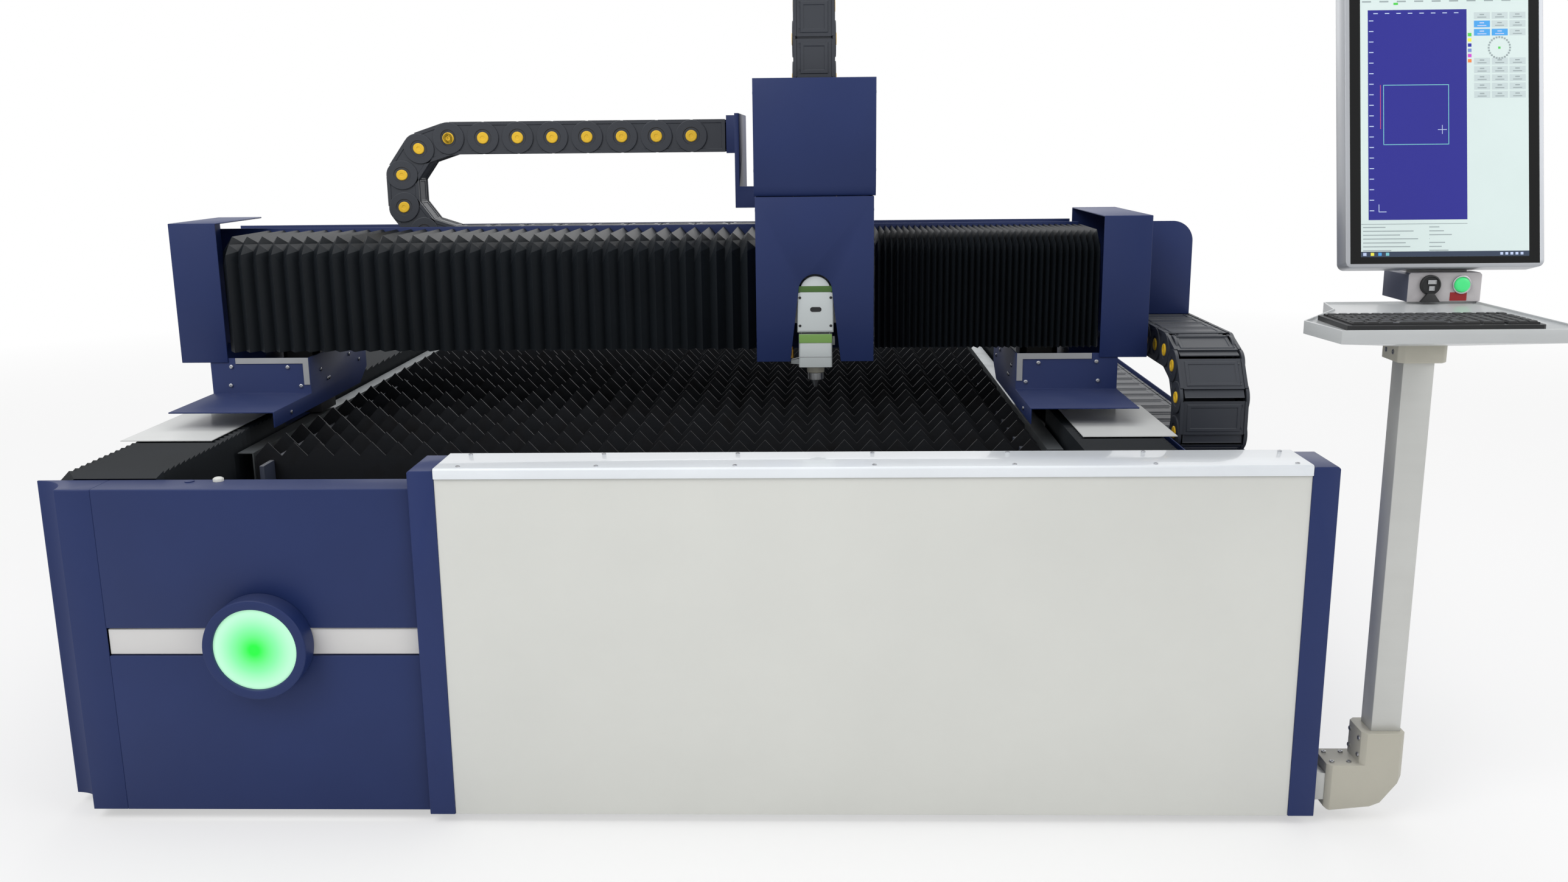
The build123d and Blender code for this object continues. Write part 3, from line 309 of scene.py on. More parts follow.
def shade_of(red, green, blue):
    """A colour written as 0 to 255 screen values, in the linear form that shaders use."""
    def linear(v):
        v = v / 255
        return v / 12.92 if v <= 0.04045 else ((v + 0.055) / 1.055) ** 2.4
    return (linear(red), linear(green), linear(blue), 1.0)


FINISHES = {}


def finish(name, colour, roughness, group=None, metallic=0.0, coat=0.0, bump=0.02, bump_distance=0.0004,
           glow=None, glow_strength=0.0, rough_shift=0.2, specular=0.5, **values):
    """A named material: a Principled shader, with a shared effect for its colour and bump."""
    material = bpy.data.materials.new(name)
    FINISHES[name] = material
    material.use_nodes = True
    tree = material.node_tree
    shader = tree.nodes["Principled BSDF"]
    shader.inputs["Base Color"].default_value = colour
    shader.inputs["Roughness"].default_value = roughness
    shader.inputs["Metallic"].default_value = metallic
    shader.inputs["Coat Weight"].default_value = coat
    shader.inputs["Specular IOR Level"].default_value = specular
    if glow:
        shader.inputs["Emission Color"].default_value = glow
        shader.inputs["Emission Strength"].default_value = glow_strength
    material.diffuse_color = colour
    if group:
        effect = node_at(tree, "ShaderNodeGroup", node_tree=group)
        effect.inputs["Colour"].default_value = colour
        for label, value in values.items():
            effect.inputs[label.replace("_", " ").capitalize()].default_value = value
        rough = node_at(tree, "ShaderNodeMath", operation="MULTIPLY_ADD")
        rough.inputs[1].default_value = rough_shift
        rough.inputs[2].default_value = roughness
        relief = node_at(tree, "ShaderNodeBump")
        relief.inputs["Strength"].default_value = bump
        relief.inputs["Distance"].default_value = bump_distance
        tree.links.new(effect.outputs["Colour"], shader.inputs["Base Color"])
        tree.links.new(effect.outputs["Roughness shift"], rough.inputs[0])
        tree.links.new(rough.outputs[0], shader.inputs["Roughness"])
        tree.links.new(effect.outputs["Height"], relief.inputs["Height"])
        tree.links.new(relief.outputs[0], shader.inputs["Normal"])
    return material


blue_paint = finish("blue_paint", shade_of(30, 46, 94), 0.5, paint_skin, coat=0.02, bump=0.25, mottle=0.05,
                    dust=0.08, specular=0.3)
finish("post_paint", shade_of(28, 45, 96), 0.40, paint_skin, coat=0.06, bump=0.25, mottle=0.05,
       dust=0.06, specular=0.3)
white_paint = finish("white_paint", shade_of(218, 219, 214), 0.38, paint_skin, coat=0.1, bump=0.15,
                     mottle=0.015, dust=0.02)
finish("lid_white", shade_of(236, 241, 246), 0.28, paint_skin, coat=0.35, bump=0.15, mottle=0.03,
       dust=0.06)
finish("frame_paint", shade_of(44, 50, 66), 0.55, paint_skin, bump=0.3, mottle=0.1, dust=0.35)
# The pale strip is no lamp: its faint glow is painted light that makes it read brighter.
finish("light_strip", shade_of(206, 205, 204), 0.45, paint_skin, bump=0.05, mottle=0.02, dust=0.0,
       glow=shade_of(205, 203, 202), glow_strength=0.08)
finish("rail_steel", shade_of(150, 152, 154), 0.3, drawn_metal, metallic=1.0, bump=0.15, streak=0.2,
       stain=0.25)
finish("zinc", shade_of(128, 133, 136), 0.42, drawn_metal, metallic=0.85, bump=0.1, line_scale=24.0,
       streak=0.25, stain=0.45, stain_colour=shade_of(60, 56, 52))
slat_steel = finish("slat_steel", shade_of(44, 46, 50), 0.5, drawn_metal, metallic=0.8, bump=0.2, streak=0.3,
                    stain=0.7, stain_scale=14.0, stain_colour=shade_of(26, 24, 24))
pleat_cloth = finish("pleat_cloth", shade_of(20, 25, 30), 0.5, paint_skin, bump=0.35, grain_scale=1400.0,
                     mottle=0.15, dust=0.05, dust_colour=shade_of(60, 62, 64), specular=0.3)
chain_plastic = finish("chain_plastic", shade_of(50, 54, 62), 0.5, paint_skin, bump=0.2, mottle=0.08,
                       dust=0.12)
pin_yellow = finish("pin_yellow", shade_of(255, 206, 46), 0.4, paint_skin, bump=0.1, mottle=0.04, dust=0.02)
finish("flap_white", shade_of(214, 216, 215), 0.35, paint_skin, bump=0.1, mottle=0.05, dust=0.15)
seal_grey = finish("seal_grey", shade_of(168, 170, 172), 0.6, paint_skin, bump=0.3, mottle=0.1, dust=0.05)
finish("beam_alloy", shade_of(176, 178, 182), 0.36, drawn_metal, metallic=0.9, bump=0.08,
       line_scale=30.0, streak=0.12, stain=0.08)
motor_black = finish("motor_black", shade_of(28, 29, 32), 0.45, paint_skin, bump=0.3, mottle=0.08, dust=0.1)
head_white = finish("head_white", shade_of(212, 219, 220), 0.3, paint_skin, coat=0.25, bump=0.06, mottle=0.02,
                    dust=0.02)
nozzle_steel = finish("nozzle_steel", shade_of(168, 170, 172), 0.28, drawn_metal, metallic=1.0, bump=0.1,
                      line_scale=200.0, streak=0.2, stain=0.1)
brass_finish = finish("brass_finish", shade_of(196, 152, 74), 0.3, drawn_metal, metallic=1.0, bump=0.08,
                      streak=0.15, stain=0.15)
finish("console_grey", shade_of(196, 197, 194), 0.34, drawn_metal, metallic=0.35, bump=0.06,
       line_scale=40.0, streak=0.08, stain=0.04)
cast_grey = finish("cast_grey", shade_of(182, 179, 166), 0.42, paint_skin, bump=0.35, grain_scale=500.0,
                   mottle=0.05, dust=0.03)
finish("tray_white", shade_of(190, 193, 194), 0.32, paint_skin, coat=0.2, bump=0.12, mottle=0.04,
       dust=0.03)
key_black = finish("key_black", shade_of(30, 31, 33), 0.5, paint_skin, bump=0.15, mottle=0.05, dust=0.1)
finish("housing_silver", shade_of(176, 179, 184), 0.32, paint_skin, metallic=0.4, bump=0.05,
       mottle=0.03, dust=0.02)
finish("box_grey", shade_of(196, 192, 194), 0.36, paint_skin, bump=0.12, mottle=0.03, dust=0.05)
bright_metal = finish("bright_metal", shade_of(196, 198, 200), 0.2, drawn_metal, metallic=1.0, bump=0.04,
                      line_scale=300.0, streak=0.1, stain=0.05)
screw_zinc = finish("screw_zinc", shade_of(178, 180, 184), 0.28, drawn_metal, metallic=1.0, bump=0.05,
                    line_scale=150.0, streak=0.15, stain=0.15)
# A darker copy of the box's grey for its left side: painted shade, since the whole box is one grey.
box_side_painted_shade = finish("box_side_painted_shade", shade_of(88, 92, 108), 0.4, paint_skin, bump=0.12, mottle=0.04, dust=0.03)
rubber_black = finish("rubber_black", shade_of(24, 25, 27), 0.55, paint_skin, bump=0.2, mottle=0.05,
                      dust=0.05)
print("finishes:", len(FINISHES))

# %% [markdown]
# Each CAD part gets its finish by name in one table, so that a colour is changed in one place. The
# cells below model finer pieces for many of these parts, and those then stand for them.

# %% Dress the CAD parts
DRESS = {
    "blue_paint": ["corner_cover", "upper_cover", "lower_cover", "body_panels", "gantry_saddles",
                   "end_covers", "beam_tray", "side_brackets", "chain_arm", "lower_z_cover",
                   "upper_z_cover", "lamp_bezel"],
    "post_paint": ["front_posts"],
    "white_paint": ["front_panel"],
    "lid_white": ["top_cover"],
    "frame_paint": ["bed_frame", "slat_supports"],
    "light_strip": ["light_bars"],
    "rail_steel": ["levelling_feet", "gantry_rails", "rail_blocks", "beam_rails"],
    "zinc": ["edge_guards", "scrap_tray"],
    "slat_steel": ["slats"],
    "pleat_cloth": ["front_rail_bellows", "rear_rail_bellows", "left_beam_bellows", "right_beam_bellows"],
    "chain_plastic": ["bed_chain_lower", "bed_chain_upper", "bed_chain_bend", "beam_chain_lower",
                      "beam_chain_upper", "beam_chain_bend", "head_chain"],
    "flap_white": ["cover_flaps"],
    "seal_grey": ["seal_strips"],
    "beam_alloy": ["gantry_beam", "carriage_plate", "head_slide"],
    "motor_black": ["gantry_motors", "z_motor"],
    "head_white": ["head_body", "head_lower"],
    "nozzle_steel": ["nozzle"],
    "brass_finish": ["head_fittings"],
    "console_grey": ["console_tubes", "monitor_bracket"],
    "cast_grey": ["console_elbow", "console_coupler"],
    "tray_white": ["console_tray"],
    "key_black": ["keyboard"],
    "box_grey": ["control_box"],
    "housing_silver": ["monitor_housing"],
    "bright_metal": ["button_bezel"],
    "rubber_black": ["data_socket"],
    "head_glow": ["start_button"],
    "lamp_glow": ["lamp_lens"],
    "screen_pale": ["monitor_screen"],
}
head_glow = finish("head_glow", shade_of(60, 190, 110), 0.3, paint_skin, bump=0.03, mottle=0.03, dust=0.0,
                   glow=shade_of(70, 220, 130), glow_strength=0.5)
finish("lamp_glow", shade_of(90, 230, 110), 0.35, paint_skin, bump=0.03, mottle=0.02, dust=0.0,
       glow=shade_of(60, 235, 90), glow_strength=0.6)
finish("screen_pale", shade_of(206, 226, 226), 0.2, paint_skin, bump=0.0, mottle=0.01, dust=0.0,
       glow=shade_of(206, 226, 226), glow_strength=0.35)
for finish_name, nodes in DRESS.items():
    for node in nodes:
        piece = frame["nodes"][node]
        piece.data.materials.clear()
        piece.data.materials.append(FINISHES[finish_name])
print("dressed", sum(len(nodes) for nodes in DRESS.values()), "CAD parts of", len(frame["nodes"]))

# %% [markdown]
# Every new piece starts as a Blender primitive at its size and place and is shaped in edit mode.
# These helpers do the steps that come again and again: add a box or a round, pick faces by the way
# they look, run an operator on them, and settle the piece so that its place lies in its mesh.

# %% Helpers for modelling
import bmesh
UP, FRONT_WAY, LEFT_WAY, RIGHT_WAY = (0, 0, 1), (0, -1, 0), (-1, 0, 0), (1, 0, 0)


def quiet():
    """Deselects everything, because operators act on all that is selected."""
    if bpy.context.mode != "OBJECT":
        bpy.ops.object.mode_set(mode="OBJECT")
    bpy.ops.object.select_all(action="DESELECT")


def settle(piece, name, *materials):
    """Puts a piece's place into its mesh, names it and gives it its materials."""
    quiet()
    piece.select_set(True)
    bpy.context.view_layer.objects.active = piece
    bpy.ops.object.transform_apply(location=True, rotation=True, scale=True)
    piece.name = name
    piece.data.name = name
    for material in materials:
        piece.data.materials.append(material)
    return piece


def start_box(low, high):
    """A box between two places in the layout, ready for edit mode."""
    quiet()
    low, high = at(*low), at(*high)
    bpy.ops.mesh.primitive_cube_add(size=1, location=(low + high) / 2)
    piece = bpy.context.object
    piece.scale = high - low
    bpy.ops.object.transform_apply(location=True, rotation=True, scale=True)
    return piece


def start_round(centre, radius, depth, facing, sides=32):
    """A round that stands out of a wall: centre is on the wall, facing is the way it looks."""
    quiet()
    facing = Vector(facing).normalized()
    bpy.ops.mesh.primitive_cylinder_add(vertices=sides, radius=radius * MM, depth=depth * MM,
                                        location=at(*centre) + facing * depth * MM / 2,
                                        rotation=facing.to_track_quat("Z", "Y").to_euler())
    piece = bpy.context.object
    bpy.ops.object.transform_apply(location=True, rotation=True, scale=True)
    return piece


def pick_faces(piece, test):
    """Selects in edit mode the faces whose centre and normal pass a test."""
    if bpy.context.mode != "EDIT_MESH":
        bpy.context.view_layer.objects.active = piece
        bpy.ops.object.mode_set(mode="EDIT")
    bpy.ops.mesh.select_mode(type="FACE")
    bpy.ops.mesh.select_all(action="DESELECT")
    mesh = bmesh.from_edit_mesh(piece.data)
    for face in mesh.faces:
        face.select = test(face.calc_center_median(), face.normal)
    mesh.select_flush(True)
    bmesh.update_edit_mesh(piece.data)


def pick_vertices(piece, test):
    """Selects in edit mode the vertices whose place passes a test."""
    if bpy.context.mode != "EDIT_MESH":
        bpy.context.view_layer.objects.active = piece
        bpy.ops.object.mode_set(mode="EDIT")
    bpy.ops.mesh.select_mode(type="VERT")
    bpy.ops.mesh.select_all(action="DESELECT")
    mesh = bmesh.from_edit_mesh(piece.data)
    for vertex in mesh.verts:
        vertex.select = test(vertex.co)
    mesh.select_flush(True)
    bmesh.update_edit_mesh(piece.data)


def looks(direction, limit=0.9):
    """A test for faces that look one way."""
    direction = Vector(direction).normalized()
    return lambda centre, normal: normal.dot(direction) > limit


def done(piece):
    """Leaves edit mode."""
    bpy.ops.object.mode_set(mode="OBJECT")
    return piece


def stepped(piece, facing, *steps):
    """Insets the faces that look one way, in steps of (thickness, depth) in millimetres."""
    pick_faces(piece, looks(facing))
    for thickness, depth in steps:
        bpy.ops.mesh.inset(thickness=thickness * MM, depth=depth * MM)
    return done(piece)


def bevel_all(piece, width, segments=2):
    """Rounds the piece's sharp edges a little."""
    bpy.context.view_layer.objects.active = piece
    modifier = piece.modifiers.new("edge", "BEVEL")
    modifier.width = width * MM
    modifier.segments = segments
    modifier.limit_method = "ANGLE"
    bpy.ops.object.modifier_apply(modifier="edge")
    return piece


def soft(piece, angle=35):
    """Smooth shading that keeps the edges sharper than an angle."""
    quiet()
    piece.select_set(True)
    bpy.context.view_layer.objects.active = piece
    bpy.ops.object.shade_smooth_by_angle(angle=radians(angle))
    return piece


def copy_at(piece, matrix, name):
    """A copy with its own mesh, moved by a matrix."""
    twin = piece.copy()
    twin.data = piece.data.copy()
    twin.data.transform(matrix)
    twin.name = name
    bpy.context.scene.collection.objects.link(twin)
    return twin


def joined(pieces, name):
    """Several pieces as one object."""
    quiet()
    for piece in pieces:
        piece.select_set(True)
    bpy.context.view_layer.objects.active = pieces[0]
    if len(pieces) > 1:
        bpy.ops.object.join()
    whole = bpy.context.view_layer.objects.active
    whole.name = name
    whole.data.name = name
    return whole


def ended(piece, body, slot, *nodes):
    """Says what a finished piece rides on and the CAD parts it stands for; its slot is not used."""
    if body:
        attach(piece, body)
    if nodes:
        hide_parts(*nodes)
    return piece


print("helpers are ready")

# %% [markdown]
# The real bed has thirty saw-toothed slats, one every 99 mm, and the CAD model keeps every fourth.
# Here one slat is a grid whose every second top vertex is raised. Each copy is nudged a little,
# because such slats are cheap strips that get burnt and bent, and no two stand quite alike.

# %% The slats
import random
TOOTH, TOOTH_HEIGHT, TEETH = 56, 30, 30
SLAT_HALF = TOOTH * TEETH / 2
SLAT_BOTTOM, SLAT_BODY, SLAT_SHEET = 575, 65, 3
SLAT_ROWS = [409 + 99 * k for k in range(30)]
TWIST, LEAN = 0.08, 1.2
quiet()
bpy.ops.mesh.primitive_grid_add(x_subdivisions=2 * TEETH, y_subdivisions=1, size=1)
slat = bpy.context.object
slat.scale = (2 * SLAT_HALF * MM, SLAT_BODY * MM, 1)
slat.rotation_euler = (pi / 2, 0, 0)
slat.location = at(0, 0, SLAT_BOTTOM + SLAT_BODY / 2)
bpy.ops.object.transform_apply(location=True, rotation=True, scale=True)
left_end = at(-SLAT_HALF, 0, 0).x
middle_height = at(0, 0, SLAT_BOTTOM + SLAT_BODY / 2).z
pick_vertices(slat, lambda place: place.z > middle_height
              and round((place.x - left_end) / (TOOTH * MM / 2)) % 2 == 1)
bpy.ops.transform.translate(value=(0, 0, TOOTH_HEIGHT * MM))
bpy.ops.mesh.select_all(action="SELECT")
bpy.ops.mesh.normals_make_consistent(inside=False)
done(slat)
thick = slat.modifiers.new("thickness", "SOLIDIFY")
thick.thickness = SLAT_SHEET * MM
thick.offset = 0
bpy.ops.object.modifier_apply(modifier="thickness")
settle(slat, "slat", slat_steel)
chance = random.Random(4)
foot = at(0, 0, SLAT_BOTTOM)
rows = []
for y in SLAT_ROWS:
    moved = Matrix.Translation((0, y * MM, 0))
    turned = Matrix.Rotation(radians(chance.uniform(-TWIST, TWIST)), 4, "Z")
    tipped = Matrix.Translation(foot) @ Matrix.Rotation(radians(chance.uniform(-LEAN, LEAN)), 4, "X")
    rows.append(copy_at(slat, moved @ turned @ tipped @ Matrix.Translation(-foot), "row"))
bpy.data.objects.remove(slat)
slat_rows = ended(joined(rows, "slat_rows"), "base", "slat_steel", "slats")
print("slats:", len(SLAT_ROWS), "faces:", len(slat_rows.data.polygons))

# %% [markdown]
# The pleated covers are coated cloth folded like an accordion. When the carriage moves, every fold
# opens or closes by the same share. Here each fold is a piece of its own, and the folds are joined at
# the end. One fold is a grid of three columns, whose middle column is the ridge and whose ends are the
# valleys.

# %% Folds copied along a run


def even_blend(piece, axis, place_a, place_b, share_a, share_b):
    """Works out the ends of an even blend from share_a to share_b, but only bakes the piece's place into its
    mesh.
    """
    def eased(share):
        return 0.5 - sin(asin(max(-1, min(1, 1 - 2 * share))) / 3)
    t_a, t_b = eased(share_a), eased(share_b)
    length = (place_b - place_a) / (t_b - t_a)
    start = Vector((0, 0, 0))
    start[axis] = place_a - t_a * length
    end = start.copy()
    end[axis] = start[axis] + length
    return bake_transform(piece)


# A row that has been moved is lifted out of the way of the rows still to be picked, in metres
ASIDE = 10


def fold_strip(valley, ridge, axis, pitch):
    """One fold of a cover: a grid of three columns whose rows follow a section's corners.

    The sections are lists of (side, height) in the layout, side being y for a cover that runs
    along x and x for one that runs along y."""
    quiet()
    rows = len(valley)
    bpy.ops.mesh.primitive_grid_add(x_subdivisions=2, y_subdivisions=rows - 1, size=1)
    strip = bpy.context.object
    strip.scale = (pitch * MM, (rows - 1), 1)
    bpy.ops.object.transform_apply(location=True, rotation=True, scale=True)
    for row in range(rows):
        start = row - (rows - 1) / 2
        for section, columns in ((valley, (-1, 1)), (ridge, (0,))):
            pick_vertices(strip, lambda place: abs(place.y - start) < 0.01 and abs(place.z) < 1e-6
                          and round(place.x / (pitch * MM / 2)) in columns)
            side, height = section[row]
            goal = at(0, side, height) if axis == 0 else Vector((0, at(side, 0, 0).x, height * MM))
            bpy.ops.transform.translate(value=(0, goal.y - start, goal.z + ASIDE))
    bpy.ops.mesh.select_all(action="SELECT")
    bpy.ops.transform.translate(value=(0, 0, -ASIDE))
    bpy.ops.object.mode_set(mode="OBJECT")
    return strip


def stretched_cover(name, strip, axis, stop_a, stop_b, body_a, body_b, share_a, share_b, folds, sheet=1.6):
    """Copies one fold along its run, joins them and gives the cloth its thickness."""
    pitch = (stop_b - stop_a) / folds
    swap = Matrix(((0, 1, 0, 0), (1, 0, 0, 0), (0, 0, 1, 0), (0, 0, 0, 1)))
    along = Matrix.Identity(4) if axis == 0 else swap
    copies = []
    for k in range(folds):
        middle = Vector((0, 0, 0))
        middle[axis] = (stop_a + (k + 0.5) * pitch + LAYOUT_ORIGIN[axis]) * MM
        fold = copy_at(strip, Matrix.Translation(middle) @ along, "fold")
        ends = [(stop_a + j * pitch + LAYOUT_ORIGIN[axis]) * MM for j in (k, k + 1)]
        shares = [share_a + (share_b - share_a) * j / folds for j in (k, k + 1)]
        even_blend(fold, axis, ends[0], ends[1], shares[0], shares[1])
        copies.append(fold)
    cover = joined(copies, name)
    bpy.ops.object.mode_set(mode="EDIT")
    bpy.ops.mesh.select_all(action="SELECT")
    bpy.ops.mesh.remove_doubles(threshold=0.0002)
    bpy.ops.mesh.normals_make_consistent(inside=False)
    bpy.ops.object.mode_set(mode="OBJECT")
    thick = cover.modifiers.new("cloth", "SOLIDIFY")
    thick.thickness = sheet * MM
    thick.offset = -1
    bpy.ops.object.modifier_apply(modifier="cloth")
    return cover


print("the fold helpers are ready")

# %% [markdown]
# On the beam's covers the front and the roof meet in a slanting band. Its width changes from ridge
# to valley, which gives the row of folded diamonds along the top edge. The left cover is pulled out
# and the right one is pushed together, so their pitch differs.

# %% The beam's pleated covers
FRONT, ROOF = 690, 1086
beam_ridge = [(FRONT, 821), (FRONT, ROOF - 40), (FRONT + 22, ROOF - 18), (FRONT + 44, ROOF - 1),
              (960, ROOF - 1)]
beam_valley = [(FRONT + 22, 822), (FRONT + 22, ROOF - 66), (FRONT + 30, ROOF - 34), (FRONT + 72, ROOF - 20),
               (959, ROOF - 20)]
for name, stops, bodies, folds in (
        ("left_beam_bellows", (-1005, 222), ("gantry", "carriage", 0, 1), 35),
        ("right_beam_bellows", (494, 1005), ("gantry", "carriage", 1, 0), 36)):
    strip = fold_strip(beam_valley, beam_ridge, 0, (stops[1] - stops[0]) / folds)
    cover = stretched_cover(name + "_cloth", strip, 0, *stops, *bodies, folds)
    bpy.data.objects.remove(strip)
    cover.data.materials.append(pleat_cloth)
    ended(cover, None, "bellows_cloth", name)
    print(name, "has", folds, "folds and", len(cover.data.polygons), "faces")

# %% [markdown]
# The covers over the two rails are low boxes of the same cloth. Their roof and outer side are
# folded, with a slanted outer corner, and the gantry pushes one pair together as it pulls the other.

# %% The rails' pleated covers
for name, side, stops, shares, folds in (
        ("front_left_cover_cloth", -1, (91, 719), (0, 1), 28),
        ("front_right_cover_cloth", 1, (134, 719), (0, 1), 26),
        ("rear_left_cover_cloth", -1, (1071, 4196), (1, 0), 60),
        ("rear_right_cover_cloth", 1, (1071, 4196), (1, 0), 60)):
    inner, outer, low, high = side * 891, side * 1101, 561, 683
    ridge = [(inner, low), (inner, high), (outer - side * 26, high), (outer, high - 26), (outer, low)]
    valley = [(inner + side * 11, low), (inner + side * 11, high - 13), (outer - side * 40, high - 13),
              (outer - side * 11, high - 40), (outer - side * 11, low)]
    strip = fold_strip(valley, ridge, 1, (stops[1] - stops[0]) / folds)
    cover = stretched_cover(name, strip, 1, *stops, "base", "gantry", shares[0], shares[1], folds)
    bpy.data.objects.remove(strip)
    cover.data.materials.append(pleat_cloth)
    ended(cover, None, "bellows_cloth", name.split("_")[0] + "_rail_bellows")
    print(name, "has", folds, "folds and", len(cover.data.polygons), "faces")

# %% [markdown]
# An energy chain is a row of links, each with two side plates, a lid above and below, and a round
# lap at the pin with a yellow cap. One link is modelled per chain width and then copied. Links lie
# from pin to pin along x, so a matrix that turns and places them is all that a copy needs.

# %% One chain link
PITCH_LINK, HALF_LINK = 85, 39.5


def chain_link(width):
    """A link of that width, from its pin at the layout's origin to the next one along x."""
    half = width / 2
    parts = []
    for side in (-1, 1):
        outward = (0, side, 0)
        inner, outer = sorted((side * (half - 9), side * (half - 1.8)))
        plate = start_box((4, inner, -HALF_LINK + 0.5), (82, outer, HALF_LINK - 0.5))
        stepped(plate, outward, (8, 0), (1.2, -1.4))
        parts.append(settle(plate, "plate", chain_plastic))
        lap = start_round((0, side * (half - 7), 0), HALF_LINK - 1, 6.6, outward, 36)
        stepped(lap, outward, (1.2, 0.8), (16, 0), (1.5, -1.5))
        parts.append(settle(soft(lap, 30), "lap", chain_plastic))
        cap = start_round((0, side * (half - 2), 0), 14, 2.6, outward, 24)
        stepped(cap, outward, (1.5, 1.2), (7, 0), (0.8, -0.8))
        parts.append(settle(soft(cap, 30), "cap", pin_yellow))
    for side in (-1, 1):
        low, high = sorted((side * (HALF_LINK - 6), side * (HALF_LINK - 2.2)))
        lid = start_box((3, -half + 9.5, low), (83, half - 9.5, high))
        stepped(lid, (0, 0, side), (7, 0), (1.5, 1.6), (6, 0), (1.5, -1.4))
        parts.append(settle(lid, "lid", chain_plastic))
        for end in (15, 70):
            low, high = sorted((side * (HALF_LINK - 3), side * (HALF_LINK - 0.8)))
            clip = start_box((end - 4, half - 22, low), (end + 4, half - 14, high))
            stepped(clip, (0, 0, side), (2, -1.2))
            parts.append(settle(clip, "clip", chain_plastic))
    tongue = start_box((70, -half + 11, HALF_LINK - 8.5), (104, half - 11, HALF_LINK - 6.2))
    stepped(tongue, UP, (3, -0.6))
    parts.append(settle(tongue, "tongue", chain_plastic))
    whole = joined(parts, "link")
    whole.data.transform(Matrix.Translation(-at(0, 0, 0)))
    return whole


BEAM_CHAIN, BED_CHAIN, HEAD_CHAIN = 90, 150, 94
links_by_width = {width: chain_link(width) for width in (BEAM_CHAIN, BED_CHAIN, HEAD_CHAIN)}
print("faces in one link:", len(links_by_width[BED_CHAIN].data.polygons))

# %% [markdown]
# A chain rolls: its lower run is laid down as its upper run is taken up, and the bend moves half as
# far as the moving end. Here each run and each bend is a fixed row of links. Spare links lie
# hidden inside the others, a little smaller.

# %% The chains' runs and bends
SPARE_WIDTH, SPARE_HEIGHT, END_HEIGHT = 0.87, 0.94, 0.92


def link_place(pin, direction, outward, length=PITCH_LINK, slim=1.0):
    """The matrix that lays a link from a pin, along a direction, with its lid facing outward."""
    x = Vector(direction).normalized()
    z = Vector(outward).normalized()
    y = z.cross(x)
    turn = Matrix((x, y, z)).transposed().to_4x4()
    narrow = 1.0 if slim == 1.0 else SPARE_WIDTH
    size = Matrix.Diagonal((length / PITCH_LINK, narrow, slim, 1))
    return Matrix.Translation(at(*pin)) @ turn @ size


def straight_chain(name, width, axis, first_pin, outward, count, spares, shares, slot_node,
                   ends=()):
    """A straight run of links along an axis, with spare links between them and extra links at its ends."""
    step = Vector((0, 0, 0))
    step[axis] = 1
    total = count * PITCH_LINK
    pieces = []
    places = [(k + 0.5, 1.0) for k in range(count)]
    for k in range(count - 1):
        places += [(k + 0.5 + (j + 1) / (spares + 1), SPARE_HEIGHT) for j in range(spares)]
    places += [(0.5 - end, END_HEIGHT) for end in ends]
    places += [(count - 0.5 + end, END_HEIGHT) for end in ends]
    for place, slim in places:
        pin = Vector(first_pin) + step * (place - 0.5) * PITCH_LINK
        link = copy_at(links_by_width[width], link_place(pin, step, outward, slim=slim), "link")
        share = shares[0] + (shares[1] - shares[0]) * place / count
        middle = (pin[axis] + PITCH_LINK / 2 + LAYOUT_ORIGIN[axis]) * MM
        t = 0.5 - sin(asin(1 - 2 * share) / 3)
        reach = 400.0
        start, end = Vector((0, 0, 0)), Vector((0, 0, 0))
        start[axis] = middle - t * reach
        end[axis] = start[axis] + reach
        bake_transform(link)
        pieces.append(link)
    run = joined(pieces, name)
    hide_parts(slot_node)
    print(name, "has", len(pieces), "links along", round(total), "mm,", len(run.data.polygons), "faces")
    return run


def bent_chain(name, width, centre, plane, radius, first_angle, count, body, slot_node=None):
    """Links round a half turn. plane names the two axes it lies in, as (across, up)."""
    pieces = []
    step = 180 / count

    def pin_at(angle):
        pin = Vector(centre)
        pin[plane[0]] += radius * cos(radians(angle))
        pin[plane[1]] += radius * sin(radians(angle))
        return pin
    for k in range(count):
        a, b = pin_at(first_angle + k * step), pin_at(first_angle + (k + 1) * step)
        outward = ((a + b) / 2 - Vector(centre)).normalized()
        matrix = link_place(a, b - a, outward, length=(b - a).length)
        pieces.append(copy_at(links_by_width[width], matrix, "link"))
    bend = joined(pieces, name)
    if body:
        ended(bend, body, "chain_plastic", slot_node)
    return bend


straight_chain("bed_chain_upper_links", BED_CHAIN, 1, (1221, 668, 818), UP, 5, 3,
               (0.5, 1.0), "bed_chain_upper", ends=(0.25, 0.37))
straight_chain("bed_chain_lower_links", BED_CHAIN, 1, (1221, 668, 566), UP, 17, 0,
               (0.5, 0.0), "bed_chain_lower")
bent_chain("bed_chain_bend_links", BED_CHAIN, (1221, 668, 692), (1, 2), 126, 90, 5, "bed_bend",
           "bed_chain_bend")
straight_chain("beam_chain_upper_links", BEAM_CHAIN, 0, (-537, 1025, 1302.5), UP, 8, 1,
               (0.5, 1.0), "beam_chain_upper")
straight_chain("beam_chain_lower_links", BEAM_CHAIN, 0, (-537, 1025, 1050.5), UP, 9, 1,
               (0.5, 0.0), "beam_chain_lower")
bent_chain("beam_chain_bend_links", BEAM_CHAIN, (-537, 1025, 1176.5), (0, 2), 126, 90, 5, "beam_bend",
           "beam_chain_bend")
